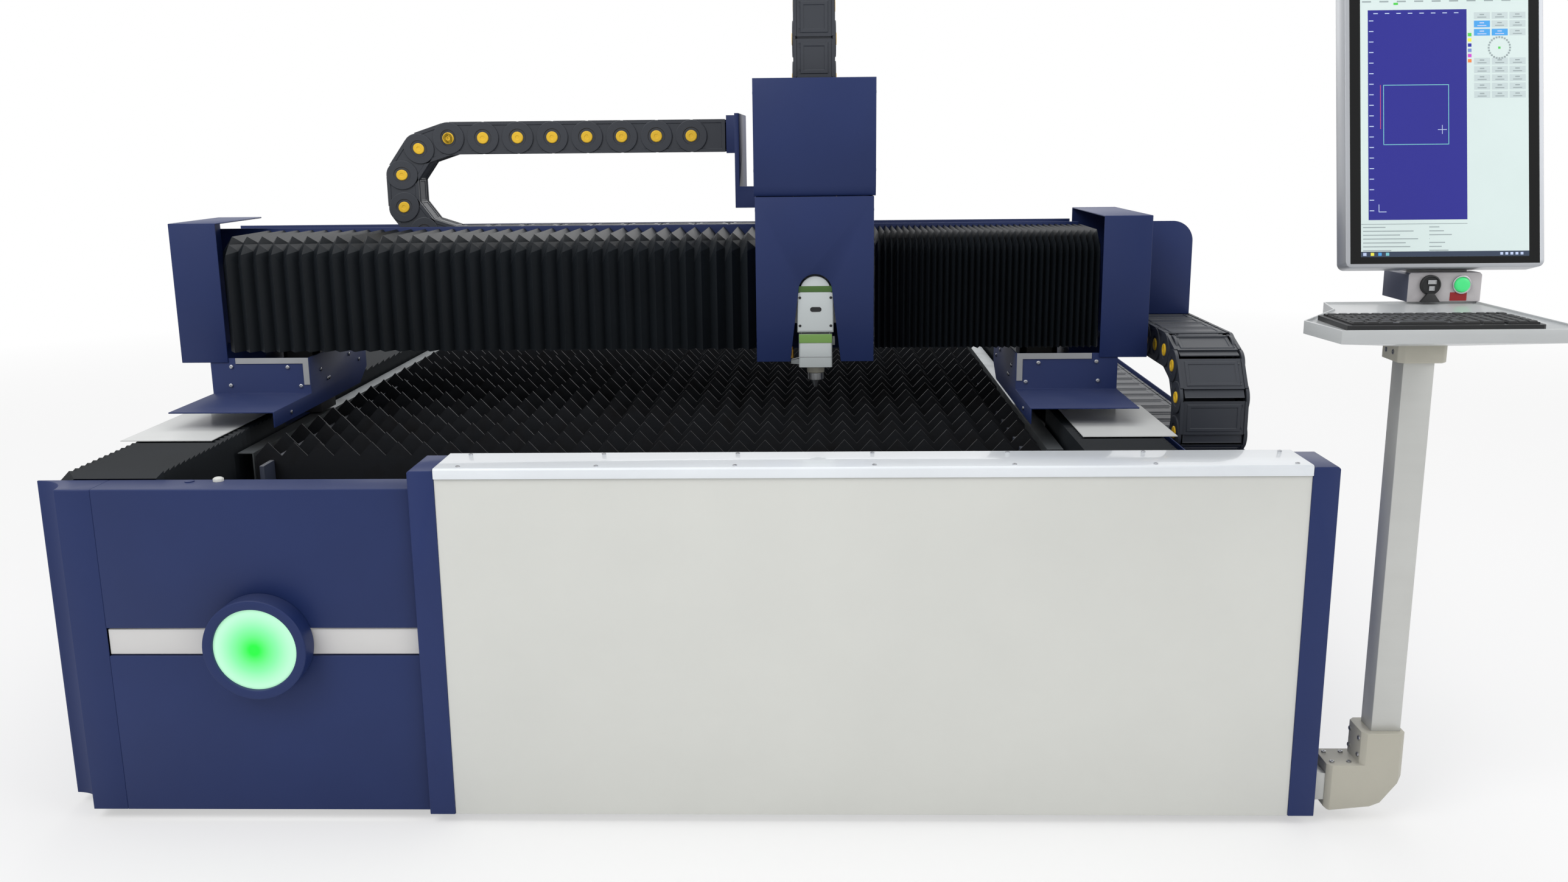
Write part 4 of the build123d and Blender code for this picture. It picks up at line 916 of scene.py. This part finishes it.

# %% [markdown]
# The head's own chain only rises and falls by 15 cm. Its front run, its loop and its rear run are
# joined as one piece.

# %% The head's chain
HEAD_X, LOOP_MIDDLE, LOOP_TOP, LOOP_RADIUS, HEAD_LINKS = 358, 765.5, 1589, 90, 5
head_parts = []
for k in range(HEAD_LINKS):
    front_pin = (HEAD_X, LOOP_MIDDLE - LOOP_RADIUS, LOOP_TOP - PITCH_LINK * (HEAD_LINKS - k))
    rear_pin = (HEAD_X, LOOP_MIDDLE + LOOP_RADIUS, LOOP_TOP - PITCH_LINK * k)
    front = link_place(front_pin, UP, FRONT_WAY)
    rear = link_place(rear_pin, (0, 0, -1), (0, 1, 0))
    head_parts.append((copy_at(links_by_width[HEAD_CHAIN], front, "link"), 0.999))
    head_parts.append((copy_at(links_by_width[HEAD_CHAIN], rear, "link"), 0.001))
loop = bent_chain("loop", HEAD_CHAIN, (HEAD_X, LOOP_MIDDLE, LOOP_TOP), (1, 2), LOOP_RADIUS, 0, 4, None)
head_parts.append((loop, 0.5))
for piece, share in head_parts:
    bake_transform(piece)
head_chain_links = joined([piece for piece, share in head_parts], "head_chain_links")
ended(head_chain_links, None, "chain_plastic", "head_chain")
for link in links_by_width.values():
    bpy.data.objects.remove(link)
print("head chain faces:", len(head_chain_links.data.polygons))

# %% [markdown]
# Folded sheet metal never has a knife edge: its bends and cut edges catch a thin line of light. The
# CAD parts are sharp, so each sheet part gets a copy whose triangles are merged and dissolved into
# flat faces and whose edges are then bevelled. The copy stands for the CAD part in the picture.

# %% Eased edges on the sheet metal and housings


def eased(node, body, finish_name, width, segments=2, angle=30):
    """A copy of a CAD part with softly bevelled edges, which stands for it."""
    source = frame["nodes"][node]
    piece = source.copy()
    piece.data = source.data.copy()
    piece.parent = None
    piece.matrix_world = source.matrix_world.copy()
    for key in list(piece.keys()):
        del piece[key]
    bpy.context.scene.collection.objects.link(piece)
    piece.hide_set(False)
    settle(piece, node + "_eased")
    bpy.ops.object.mode_set(mode="EDIT")
    bpy.ops.mesh.select_all(action="SELECT")
    bpy.ops.mesh.remove_doubles(threshold=0.00002)
    bpy.ops.mesh.dissolve_limited(angle_limit=radians(1))
    bpy.ops.object.mode_set(mode="OBJECT")
    modifier = piece.modifiers.new("edge", "BEVEL")
    modifier.width = width * MM
    modifier.segments = segments
    modifier.limit_method = "ANGLE"
    modifier.angle_limit = radians(angle)
    bpy.ops.object.modifier_apply(modifier="edge")
    piece.data.materials.clear()
    piece.data.materials.append(FINISHES[finish_name])
    soft(piece, 40)
    slot = next(part["material_slot"] for part in frame["record"]["subparts"] if part["node"] == node)
    return ended(piece, body, slot, node)


EASED = [
    ("corner_cover", "base", "blue_paint", 1.2), ("upper_cover", "base", "blue_paint", 1.2),
    ("lower_cover", "base", "blue_paint", 1.2), ("front_posts", "base", "post_paint", 1.5),
    ("front_panel", "base", "white_paint", 1.2), ("top_cover", "base", "lid_white", 0.8),
    ("body_panels", "base", "blue_paint", 1.0), ("light_bars", "base", "light_strip", 1.0),
    ("end_covers", "gantry", "blue_paint", 1.2), ("side_brackets", "gantry", "blue_paint", 0.9),
    ("gantry_saddles", "gantry", "blue_paint", 1.5), ("chain_arm", "gantry", "blue_paint", 1.0),
    ("beam_tray", "gantry", "blue_paint", 0.9), ("gantry_motors", "gantry", "motor_black", 1.5),
    ("lower_z_cover", "carriage", "blue_paint", 0.8), ("upper_z_cover", "carriage", "blue_paint", 0.8),
    ("carriage_plate", "carriage", "blue_paint", 0.8), ("z_motor", "carriage", "motor_black", 1.5),
    ("head_body", "head", "head_white", 1.2), ("head_lower", "head", "head_white", 1.0),
    ("console_tubes", "base", "console_grey", 1.5), ("console_elbow", "base", "cast_grey", 3.0),
    ("console_coupler", "console_head", "cast_grey", 2.0),
    ("console_tray", "console_head", "tray_white", 1.0), ("control_box", "console_head", "box_grey", 1.2),
    ("monitor_housing", "console_head", "housing_silver", 2.0),
    ("monitor_bracket", "console_head", "console_grey", 0.8), ("scrap_tray", "base", "zinc", 1.0),
    ("bed_frame", "base", "frame_paint", 3.0), ("slat_supports", "base", "frame_paint", 1.0),
]
for node, body, finish_name, width in EASED:
    eased(node, body, finish_name, width)
print("eased copies:", len(EASED))

# %% [markdown]
# The lamp is a deep painted ring with a frosted lens a little inside it. Its light is strongest in
# the middle and pales outwards, so the lens's colour is a ramp over the distance from its centre.

# %% The lamp
LAMP = (-693, 15, 368)
ring = start_round(LAMP, 98, 45, FRONT_WAY, 96)
stepped(ring, FRONT_WAY, (18.5, 0), (0.0001, -9))
bevel_all(ring, 2.5, 3)
ended(settle(soft(ring, 35), "lamp_ring", blue_paint), "base", "blue_paint", "lamp_bezel")

lens = start_round((-693, -21, 368), 79.2, 2.5, FRONT_WAY, 96)
stepped(lens, FRONT_WAY, (6, 1.2), (14, 1.6), (20, 1.2), (20, 0.6))
lens_light = bpy.data.materials.new("lens_light")
lens_light.use_nodes = True
tree = lens_light.node_tree
shader = tree.nodes["Principled BSDF"]
shader.inputs["Roughness"].default_value = 0.35
shader.inputs["Emission Strength"].default_value = 0.5
coordinates = node_at(tree, "ShaderNodeTexCoord")
centred = node_at(tree, "ShaderNodeVectorMath", operation="DISTANCE")
centred.inputs[1].default_value = at(-693, -27, 368)
span = node_at(tree, "ShaderNodeMapRange")
span.inputs["From Max"].default_value = 0.079
ramp = node_at(tree, "ShaderNodeValToRGB")
ramp.color_ramp.elements[0].color = shade_of(0, 222, 50)
ramp.color_ramp.elements[0].position = 0.12
ramp.color_ramp.elements[1].color = shade_of(176, 232, 196)
ramp.color_ramp.elements[1].position = 0.95
middle = ramp.color_ramp.elements.new(0.55)
middle.color = shade_of(120, 232, 150)
tree.links.new(coordinates.outputs["Object"], centred.inputs[0])
tree.links.new(centred.outputs["Value"], span.inputs["Value"])
tree.links.new(span.outputs[0], ramp.inputs["Fac"])
tree.links.new(ramp.outputs["Color"], shader.inputs["Base Color"])
tree.links.new(ramp.outputs["Color"], shader.inputs["Emission Color"])
ended(settle(soft(lens, 60), "lamp_glass", lens_light), "base", "lamp_green", "lamp_lens")
print("lamp faces:", len(ring.data.polygons) + len(lens.data.polygons))

# %% [markdown]
# Small screws hold the covers. One head with a round recess is modelled for each list and copied to
# its places. The lists below say where, as (place, facing). Two small caps sit behind the ledge.

# %% Screws


def screw_head(radius, height, recess):
    """A screw head that stands on the layout's origin and looks up."""
    head = start_round((0, 0, 0), radius, height, (0, 0, 1), 20)
    stepped(head, UP, (radius * 0.22, height * 0.25), (radius * (0.78 - recess), 0), (0.05, -height * 0.6))
    settle(soft(head, 30), "screw")
    head.data.transform(Matrix.Translation(-at(0, 0, 0)))
    return head


def screws(name, body, slot, places, radius=4.5, height=2.4, finish_used=screw_zinc):
    """Screws at (place, facing) pairs, as one piece."""
    head = screw_head(radius, height, 0.42)
    copies = []
    for place, way in places:
        turn = Vector(way).to_track_quat("Z", "Y").to_matrix().to_4x4()
        copies.append(copy_at(head, Matrix.Translation(at(*place)) @ turn, "screw"))
    bpy.data.objects.remove(head)
    whole = joined(copies, name)
    whole.data.materials.append(finish_used)
    ended(whole, body, slot)
    print(name, len(places))
    return whole


lid_places = [((x, y, 709), UP) for x in range(-300, 1240, 255) for y in (14, 112)]
screws("lid_screws", "base", "rail_steel", lid_places, 4.0, 1.6)
bracket_places = []
for side in (-1, 1):
    for x, z in ((840, 742), (1005, 744), (868, 786), (1000, 788)):
        bracket_places.append(((side * x, 693, z), FRONT_WAY))
    for y, z in ((560, 706), (760, 770), (800, 742), (812, 742), (960, 776), (1030, 752)):
        bracket_places.append(((side * 817, y, z), (-side, 0, 0)))
screws("bracket_screws", "gantry", "rail_steel", bracket_places, 4.5, 2.2)
z_places = [((x, y, z), way) for z in (845, 1140) for y in (620, 700)
            for x, way in ((228, LEFT_WAY), (486, RIGHT_WAY))]
z_places += [((x, y, z), way) for z in (1225, 1390) for y in (620, 880)
             for x, way in ((226, LEFT_WAY), (490, RIGHT_WAY))]
screws("carriage_cover_screws", "carriage", "rail_steel", z_places, 3.5, 1.6)
elbow_places = [((x, y, 120), UP) for x in (1340, 1372) for y in (25, 69)]
elbow_places += [((1388, y, z), LEFT_WAY) for y in (25, 69) for z in (136, 170)]
screws("elbow_screws", "base", "cast_grey", elbow_places, 4.5, 2.5)
coupler_places = [((1391.5, y, 909), LEFT_WAY) for y in (32, 62)]
screws("coupler_screws", "console_head", "cast_grey", coupler_places, 4.5, 1.2)
cap_head = start_round((-776, 78, 668), 10, 5, UP, 24)
stepped(cap_head, UP, (3, 2.2), (3.5, 0.9))
ended(settle(soft(cap_head, 60), "ledge_cap", white_paint), "base", "white_paint")
flat_cap = start_round((-830, 74, 668), 9, 1.6, UP, 24)
stepped(flat_cap, UP, (2, 0.5))
ended(settle(soft(flat_cap, 40), "ledge_plug", blue_paint), "base", "blue_paint")

# %% [markdown]
# The cutting head is white with two green bands. Its front plate is held by four screws and has a
# dark window, and a black line parts it from the lower body. The bands are thin plates, a little
# proud of the body, so that their edges show.

# %% The cutting head
band_green = finish("band_green", shade_of(66, 108, 34), 0.35, paint_skin, coat=0.2, bump=0.05, mottle=0.04,
                    dust=0.0)
pale_green = finish("pale_green", shade_of(126, 172, 84), 0.35, paint_skin, coat=0.2, bump=0.05, mottle=0.04,
                    dust=0.0)


def head_plate(name, low, high, finish_used, edge=0.5, slot="head_white"):
    """A thin plate on the head, its edges eased and its front face framed."""
    plate = start_box(low, high)
    stepped(plate, FRONT_WAY, (1.2, 0.25))
    bevel_all(plate, edge, 2)
    return ended(settle(soft(plate, 30), name, finish_used), "head", slot)


head_plate("upper_band", (318.5, 586.1, 963), (397.5, 590, 976.5), band_green)
head_plate("front_plate", (319.5, 585.6, 877), (396.5, 588, 962), head_white)
head_plate("lower_band", (321.5, 589.0, 850), (394.5, 592, 869.6), pale_green)
head_plate("lower_line", (322, 589.4, 818.4), (394, 591, 819.4), seal_grey, edge=0.1)
head_plate("neck_gap", (327, 593, 870.2), (389, 600, 873.8), rubber_black, edge=0.3)
window = start_round((352, 585.6, 925), 5.5, 0.8, FRONT_WAY, 24)
pick_vertices(window, lambda place: place.x > at(352.2, 0, 0).x)
bpy.ops.transform.translate(value=(14 * MM, 0, 0))
done(window)
stepped(window, FRONT_WAY, (0.8, -0.5))
ended(settle(soft(window, 30), "head_window", rubber_black), "head", "head_white")
head_places = [((358 + x, 585.4, z), FRONT_WAY) for x in (-34, 34) for z in (889, 951)]
screws("head_screws", "head", "rail_steel", head_places, 3.0, 0.9, motor_black)

holder = start_round((358, 630, 779), 19.5, 16, UP, 40)
bevel_all(holder, 1.2, 2)
settle(soft(holder, 35), "holder", cast_grey)
knurl = start_round((358, 630, 763), 18, 15, UP, 72)
pick_faces(knurl, lambda centre, normal: abs(normal.z) < 0.1
           and round(degrees(atan2(normal.y, normal.x)) / 5) % 2 == 0)
bpy.ops.mesh.extrude_region_shrink_fatten(TRANSFORM_OT_shrink_fatten={"value": -1.0 * MM})
done(knurl)
settle(soft(knurl, 30), "knurl", nozzle_steel)
tip = start_round((358, 630, 745), 12, 18, UP, 40)
pick_faces(tip, looks((0, 0, -1)))
bpy.ops.transform.resize(value=(0.34, 0.34, 1), center_override=at(358, 630, 745))
bpy.ops.mesh.inset(thickness=1.6 * MM, depth=0)
bpy.ops.mesh.inset(thickness=0.2 * MM, depth=-3 * MM)
done(tip)
settle(soft(tip, 35), "tip", nozzle_steel)
ended(joined([holder, knurl, tip], "nozzle_parts"), "head", "nozzle_steel", "nozzle")

fitting = start_round((305, 623, 812), 5, 20, UP, 6)
stepped(fitting, UP, (1.2, 0), (0.6, 6))
bevel_all(fitting, 0.4, 1)
ended(settle(soft(fitting, 30), "gas_fitting", brass_finish), "head", "brass_fitting", "head_fittings")
wedge = start_box((303, 612, 799), (321, 634, 812))
pick_faces(wedge, looks((-1, 0, 0)))
bpy.ops.transform.resize(value=(1, 0.8, 0.6), center_override=at(303, 623, 801))
done(wedge)
bevel_all(wedge, 0.8, 2)
ended(settle(soft(wedge, 30), "left_block", head_white), "head", "head_white")
catch = start_box((395, 612, 842), (401.5, 632, 862))
stepped(catch, RIGHT_WAY, (3, -1))
bevel_all(catch, 0.6, 2)
ended(settle(soft(catch, 30), "right_block", head_white), "head", "head_white")
print("head pieces are on")

# %% [markdown]
# The start button is a lit green cap in a bright ring. Beside it is a rubber-framed data socket with
# its cap hanging on a strap, and below the button a blank red plate.

# %% The control box
rim = start_round((1532, 100, 1021), 16.8, 4, FRONT_WAY, 48)
stepped(rim, FRONT_WAY, (2.9, 0), (0.3, -3.5))
bevel_all(rim, 0.6, 2)
ended(settle(soft(rim, 35), "button_rim", bright_metal), "console_head", "button_metal", "button_bezel")
cap = start_round((1532, 101, 1021), 12.9, 8, FRONT_WAY, 48)
stepped(cap, FRONT_WAY, (1.5, 1.0), (5, 0.5))
ended(settle(soft(cap, 60), "button_cap", head_glow), "start_button", "button_green", "start_button")
label_red = finish("label_red", shade_of(158, 30, 34), 0.4, paint_skin, bump=0.05, mottle=0.04, dust=0.0)
plate = start_box((1513, 99.2, 991.8), (1543, 100.2, 1007))
stepped(plate, FRONT_WAY, (1.5, 0.2))
ended(settle(plate, "button_plate", label_red), "console_head", "box_grey")
socket = start_round((1475, 100, 1021), 18, 6, FRONT_WAY, 48)
stepped(socket, FRONT_WAY, (2.5, 1), (1, -1.5))
settle(soft(socket, 35), "socket", rubber_black)
socket_parts = [socket]
for z, half_width, half_height in ((1026.5, 7.5, 3.6), (1015, 5, 4)):
    port = start_box((1476.5 - half_width, 92.6, z - half_height), (1476.5 + half_width, 94, z + half_height))
    stepped(port, FRONT_WAY, (0.8, 0), (0.1, -1.0))
    socket_parts.append(settle(port, "port", bright_metal))
strap = start_box((1469, 91, 991), (1481, 96, 1006))
pick_faces(strap, looks((0, 0, -1)))
bpy.ops.transform.resize(value=(2.8, 1.6, 1), center_override=at(1475, 93, 991))
bpy.ops.mesh.extrude_region_move(TRANSFORM_OT_translate={"value": (0, 0, -0.6 * MM)})
done(strap)
bevel_all(strap, 0.8, 2)
socket_parts.append(settle(soft(strap, 30), "strap", rubber_black))
ended(joined(socket_parts, "data_socket_parts"), "console_head", "socket_black", "data_socket")
# The faces that look left get the darker grey-blue: painted shade on the box's side.
box_piece = bpy.data.objects["control_box_eased"]
box_piece.data.materials.append(box_side_painted_shade)
for face in box_piece.data.polygons:
    face.material_index = 1 if face.normal.x < -0.7 else 0
print("control box is dressed")

# %% [markdown]
# The screen leans back with its housing, so its marks are laid out flat first, in millimetres across
# and up the screen, and one matrix tilts them into place. The marks are plain fields and bars: a
# blue work field with a drawn frame and ticks, a column of colours, a grid of keys and a taskbar.

# %% The screen
SCREEN = (Matrix.Translation(at(1492, 83, 1054)) @ Matrix.Rotation(radians(-12.4), 4, "X")
          @ Matrix(((1, 0, 0, 0), (0, 0, 1, 0), (0, 1, 0, 0), (0, 0, 0, 1))))


def screen_finish(name, colour, glow=0.35):
    """A lit colour on the screen."""
    return finish(name, shade_of(*colour), 0.15, paint_skin, bump=0.0, mottle=0.03, dust=0.0,
                  glow=shade_of(*colour), glow_strength=glow)


glass_black = finish("glass_black", shade_of(5, 6, 7), 0.12, paint_skin, coat=0.1, bump=0.0, mottle=0.1,
                     dust=0.0, specular=0.2)
marks = {
    "pale": screen_finish("screen_pale_field", (198, 212, 210)),
    "blue": screen_finish("screen_blue", (20, 20, 128)),
    "line": screen_finish("screen_line", (110, 180, 190)),
    "tick": screen_finish("screen_tick", (176, 190, 220)),
    "grey": screen_finish("screen_grey", (140, 152, 154)),
    "key": screen_finish("screen_key", (182, 195, 196)),
    "lit": screen_finish("screen_lit", (64, 150, 214)),
    "bar": screen_finish("screen_bar", (38, 52, 74)),
    "green": screen_finish("screen_green", (70, 190, 70)),
    "yellow": screen_finish("screen_yellow", (226, 218, 70)),
    "navy": screen_finish("screen_navy", (30, 30, 150)),
    "slate": screen_finish("screen_slate", (110, 130, 190)),
    "magenta": screen_finish("screen_magenta", (190, 60, 190)),
    "orange": screen_finish("screen_orange", (220, 120, 60)),
    "red": screen_finish("screen_red", (190, 70, 110)),
}
screen_parts = []


def mark(colour, u0, v0, u1, v1, lift):
    """A flat field on the screen, lift tenths of a millimetre above the glass."""
    quiet()
    middle = ((u0 + u1) / 2 * MM, (v0 + v1) / 2 * MM, -(0.3 + lift * 0.12) * MM)
    bpy.ops.mesh.primitive_grid_add(x_subdivisions=1, y_subdivisions=1, size=1, location=middle)
    field = bpy.context.object
    field.scale = ((u1 - u0) * MM, (v1 - v0) * MM, 1)
    bpy.ops.object.mode_set(mode="EDIT")
    bpy.ops.mesh.select_all(action="SELECT")
    bpy.ops.mesh.flip_normals()
    bpy.ops.object.mode_set(mode="OBJECT")
    settle(field, "mark", marks[colour])
    field.data.transform(SCREEN)
    screen_parts.append(field)


mark("pale", -149.5, 19.5, 149.5, 550.5, 1)
mark("blue", -136, 86, 40, 464, 2)
for u0, v0, u1, v1 in ((-109, 221, 8, 222.2), (-109, 328, 8, 329.2), (-109, 221, -107.8, 329),
                       (6.8, 221, 8, 329)):
    mark("line", u0, v0, u1, v1, 3)
mark("red", -114.5, 250, -113.5, 329, 3)
for k in range(19):
    mark("tick", -134, 102 + 19 * k, -126, 103.5 + 19 * k, 3)
for k in range(8):
    mark("tick", -126 + 20.5 * k, 457, -118 + 20.5 * k, 458.5, 3)
mark("tick", -118, 100, -116.8, 114, 3)
mark("tick", -118, 100, -104, 101.2, 3)
mark("tick", -4.6, 240, -3.6, 256, 3)
mark("tick", -12, 247.5, 4, 248.5, 3)
for k, colour in enumerate(("green", "yellow", "navy", "slate", "magenta", "orange")):
    mark(colour, 42, 415 - 9.4 * k, 48.5, 421 - 9.4 * k, 3)
for row, v in enumerate((446, 431, 416, 364, 349, 334, 319, 304)):
    for column in range(3):
        u = 53 + 31.5 * column
        lit = (row, column) in ((1, 0), (2, 0), (2, 1))
        mark("lit" if lit else "key", u, v, u + 28.5, v + 12, 2)
        print_colour = "tick" if lit else "grey"
        mark(print_colour, u + 10, v + 7, u + 18, v + 9, 3)
        mark(print_colour, u + 6, v + 2.4, u + 22, v + 4, 3)
for k in range(24):
    a = radians(15 * k)
    u, v = 98 + 19 * cos(a), 394 + 19 * sin(a)
    mark("grey", u - 1.6, v - 1.6, u + 1.6, v + 1.6, 3)
mark("green", 96, 392, 100, 396, 3)
for k in range(7):
    mark("grey", -146, 30 + 7 * k, -146 + (50, 84, 76, 98, 66, 90, 40)[k], 31.6 + 7 * k, 3)
    mark("grey", -28, 30 + 7 * k, -28 + (34, 22, 28, 0.5, 40, 26, 18)[k], 31.6 + 7 * k, 3)
mark("grey", -149, 78, 40, 79, 3)
for k in range(9):
    mark("grey", -146 + 31 * k, 478, -130 + 31 * k, 480.5, 3)
mark("green", -90, 473, -82, 477, 3)
mark("bar", -149.5, 19.5, 149.5, 29, 3)
for k, colour in enumerate(("tick", "yellow", "lit", "line")):
    mark(colour, -146 + 13.5 * k, 21.5, -140 + 13.5 * k, 27, 4)
for k in range(5):
    mark("tick", 98 + 9 * k, 22, 103 + 9 * k, 26.5, 4)
screen_marks = ended(joined(screen_parts, "screen_marks"), "console_head", "screen_glass", "monitor_screen")

border = start_box((-168.5, 7, 0), (168.5, 563, 1.2))
border.data.transform(Matrix.Translation(-at(0, 0, 0)))
stepped(border, UP, (1.0, 0))
border.data.transform(Matrix.Scale(-1, 4, (0, 0, 1)))
border.data.transform(Matrix.Translation((0, 0, 0.95 * MM)))
border.data.transform(SCREEN)
bpy.ops.object.mode_set(mode="EDIT")
bpy.ops.mesh.select_all(action="SELECT")
bpy.ops.mesh.normals_make_consistent(inside=False)
done(border)
ended(settle(border, "screen_glass_sheet", glass_black), "console_head", "screen_glass")
print("screen marks:", len(screen_marks.data.polygons))

# %% [markdown]
# The keyboard's keys are little tapered caps with dished tops. One is modelled, then stretched to
# the width of each key as it is copied.

# %% The keyboard
keycap = start_box((0, 0, 0), (16, 16, 6))
pick_faces(keycap, looks(UP))
bpy.ops.transform.resize(value=(0.8, 0.8, 1), center_override=at(8, 8, 6))
bpy.ops.mesh.inset(thickness=1.2 * MM, depth=-0.5 * MM)
done(keycap)
bevel_all(keycap, 0.5, 1)
settle(keycap, "keycap", key_black)
keycap.data.transform(Matrix.Translation(-at(0, 0, 0)))
keys = []


def key_row(x, y, widths):
    """A row of keys from the left, each as wide as its number of units."""
    for width in widths:
        size = Matrix.Diagonal(((width * 18 - 2) / 16, 1, 1, 1))
        keys.append(copy_at(keycap, Matrix.Translation(at(x + 1, y, 993.5)) @ size, "key"))
        x += width * 18


for y, widths in ((-240, (1.25, 1.25, 1.25, 5, 1.25, 1.25)), (-222, (2,) + (1,) * 8 + (1.3,)),
                  (-204, (1.6,) + (1,) * 9 + (0.7,)), (-186, (1.3,) + (1,) * 10), (-168, (1,) * 11),
                  (-142, (1,) + (1,) * 10)):
    key_row(1208, y, widths)
for y in (-240, -222, -204, -186, -168, -142):
    key_row(1412, y, (1, 1))
    key_row(1452, y, (0.9, 0.9, 0.9))
ended(joined(keys, "keyboard_keys"), "console_head", "key_black")
bpy.data.objects.remove(keycap)
print("keys:", len(keys))
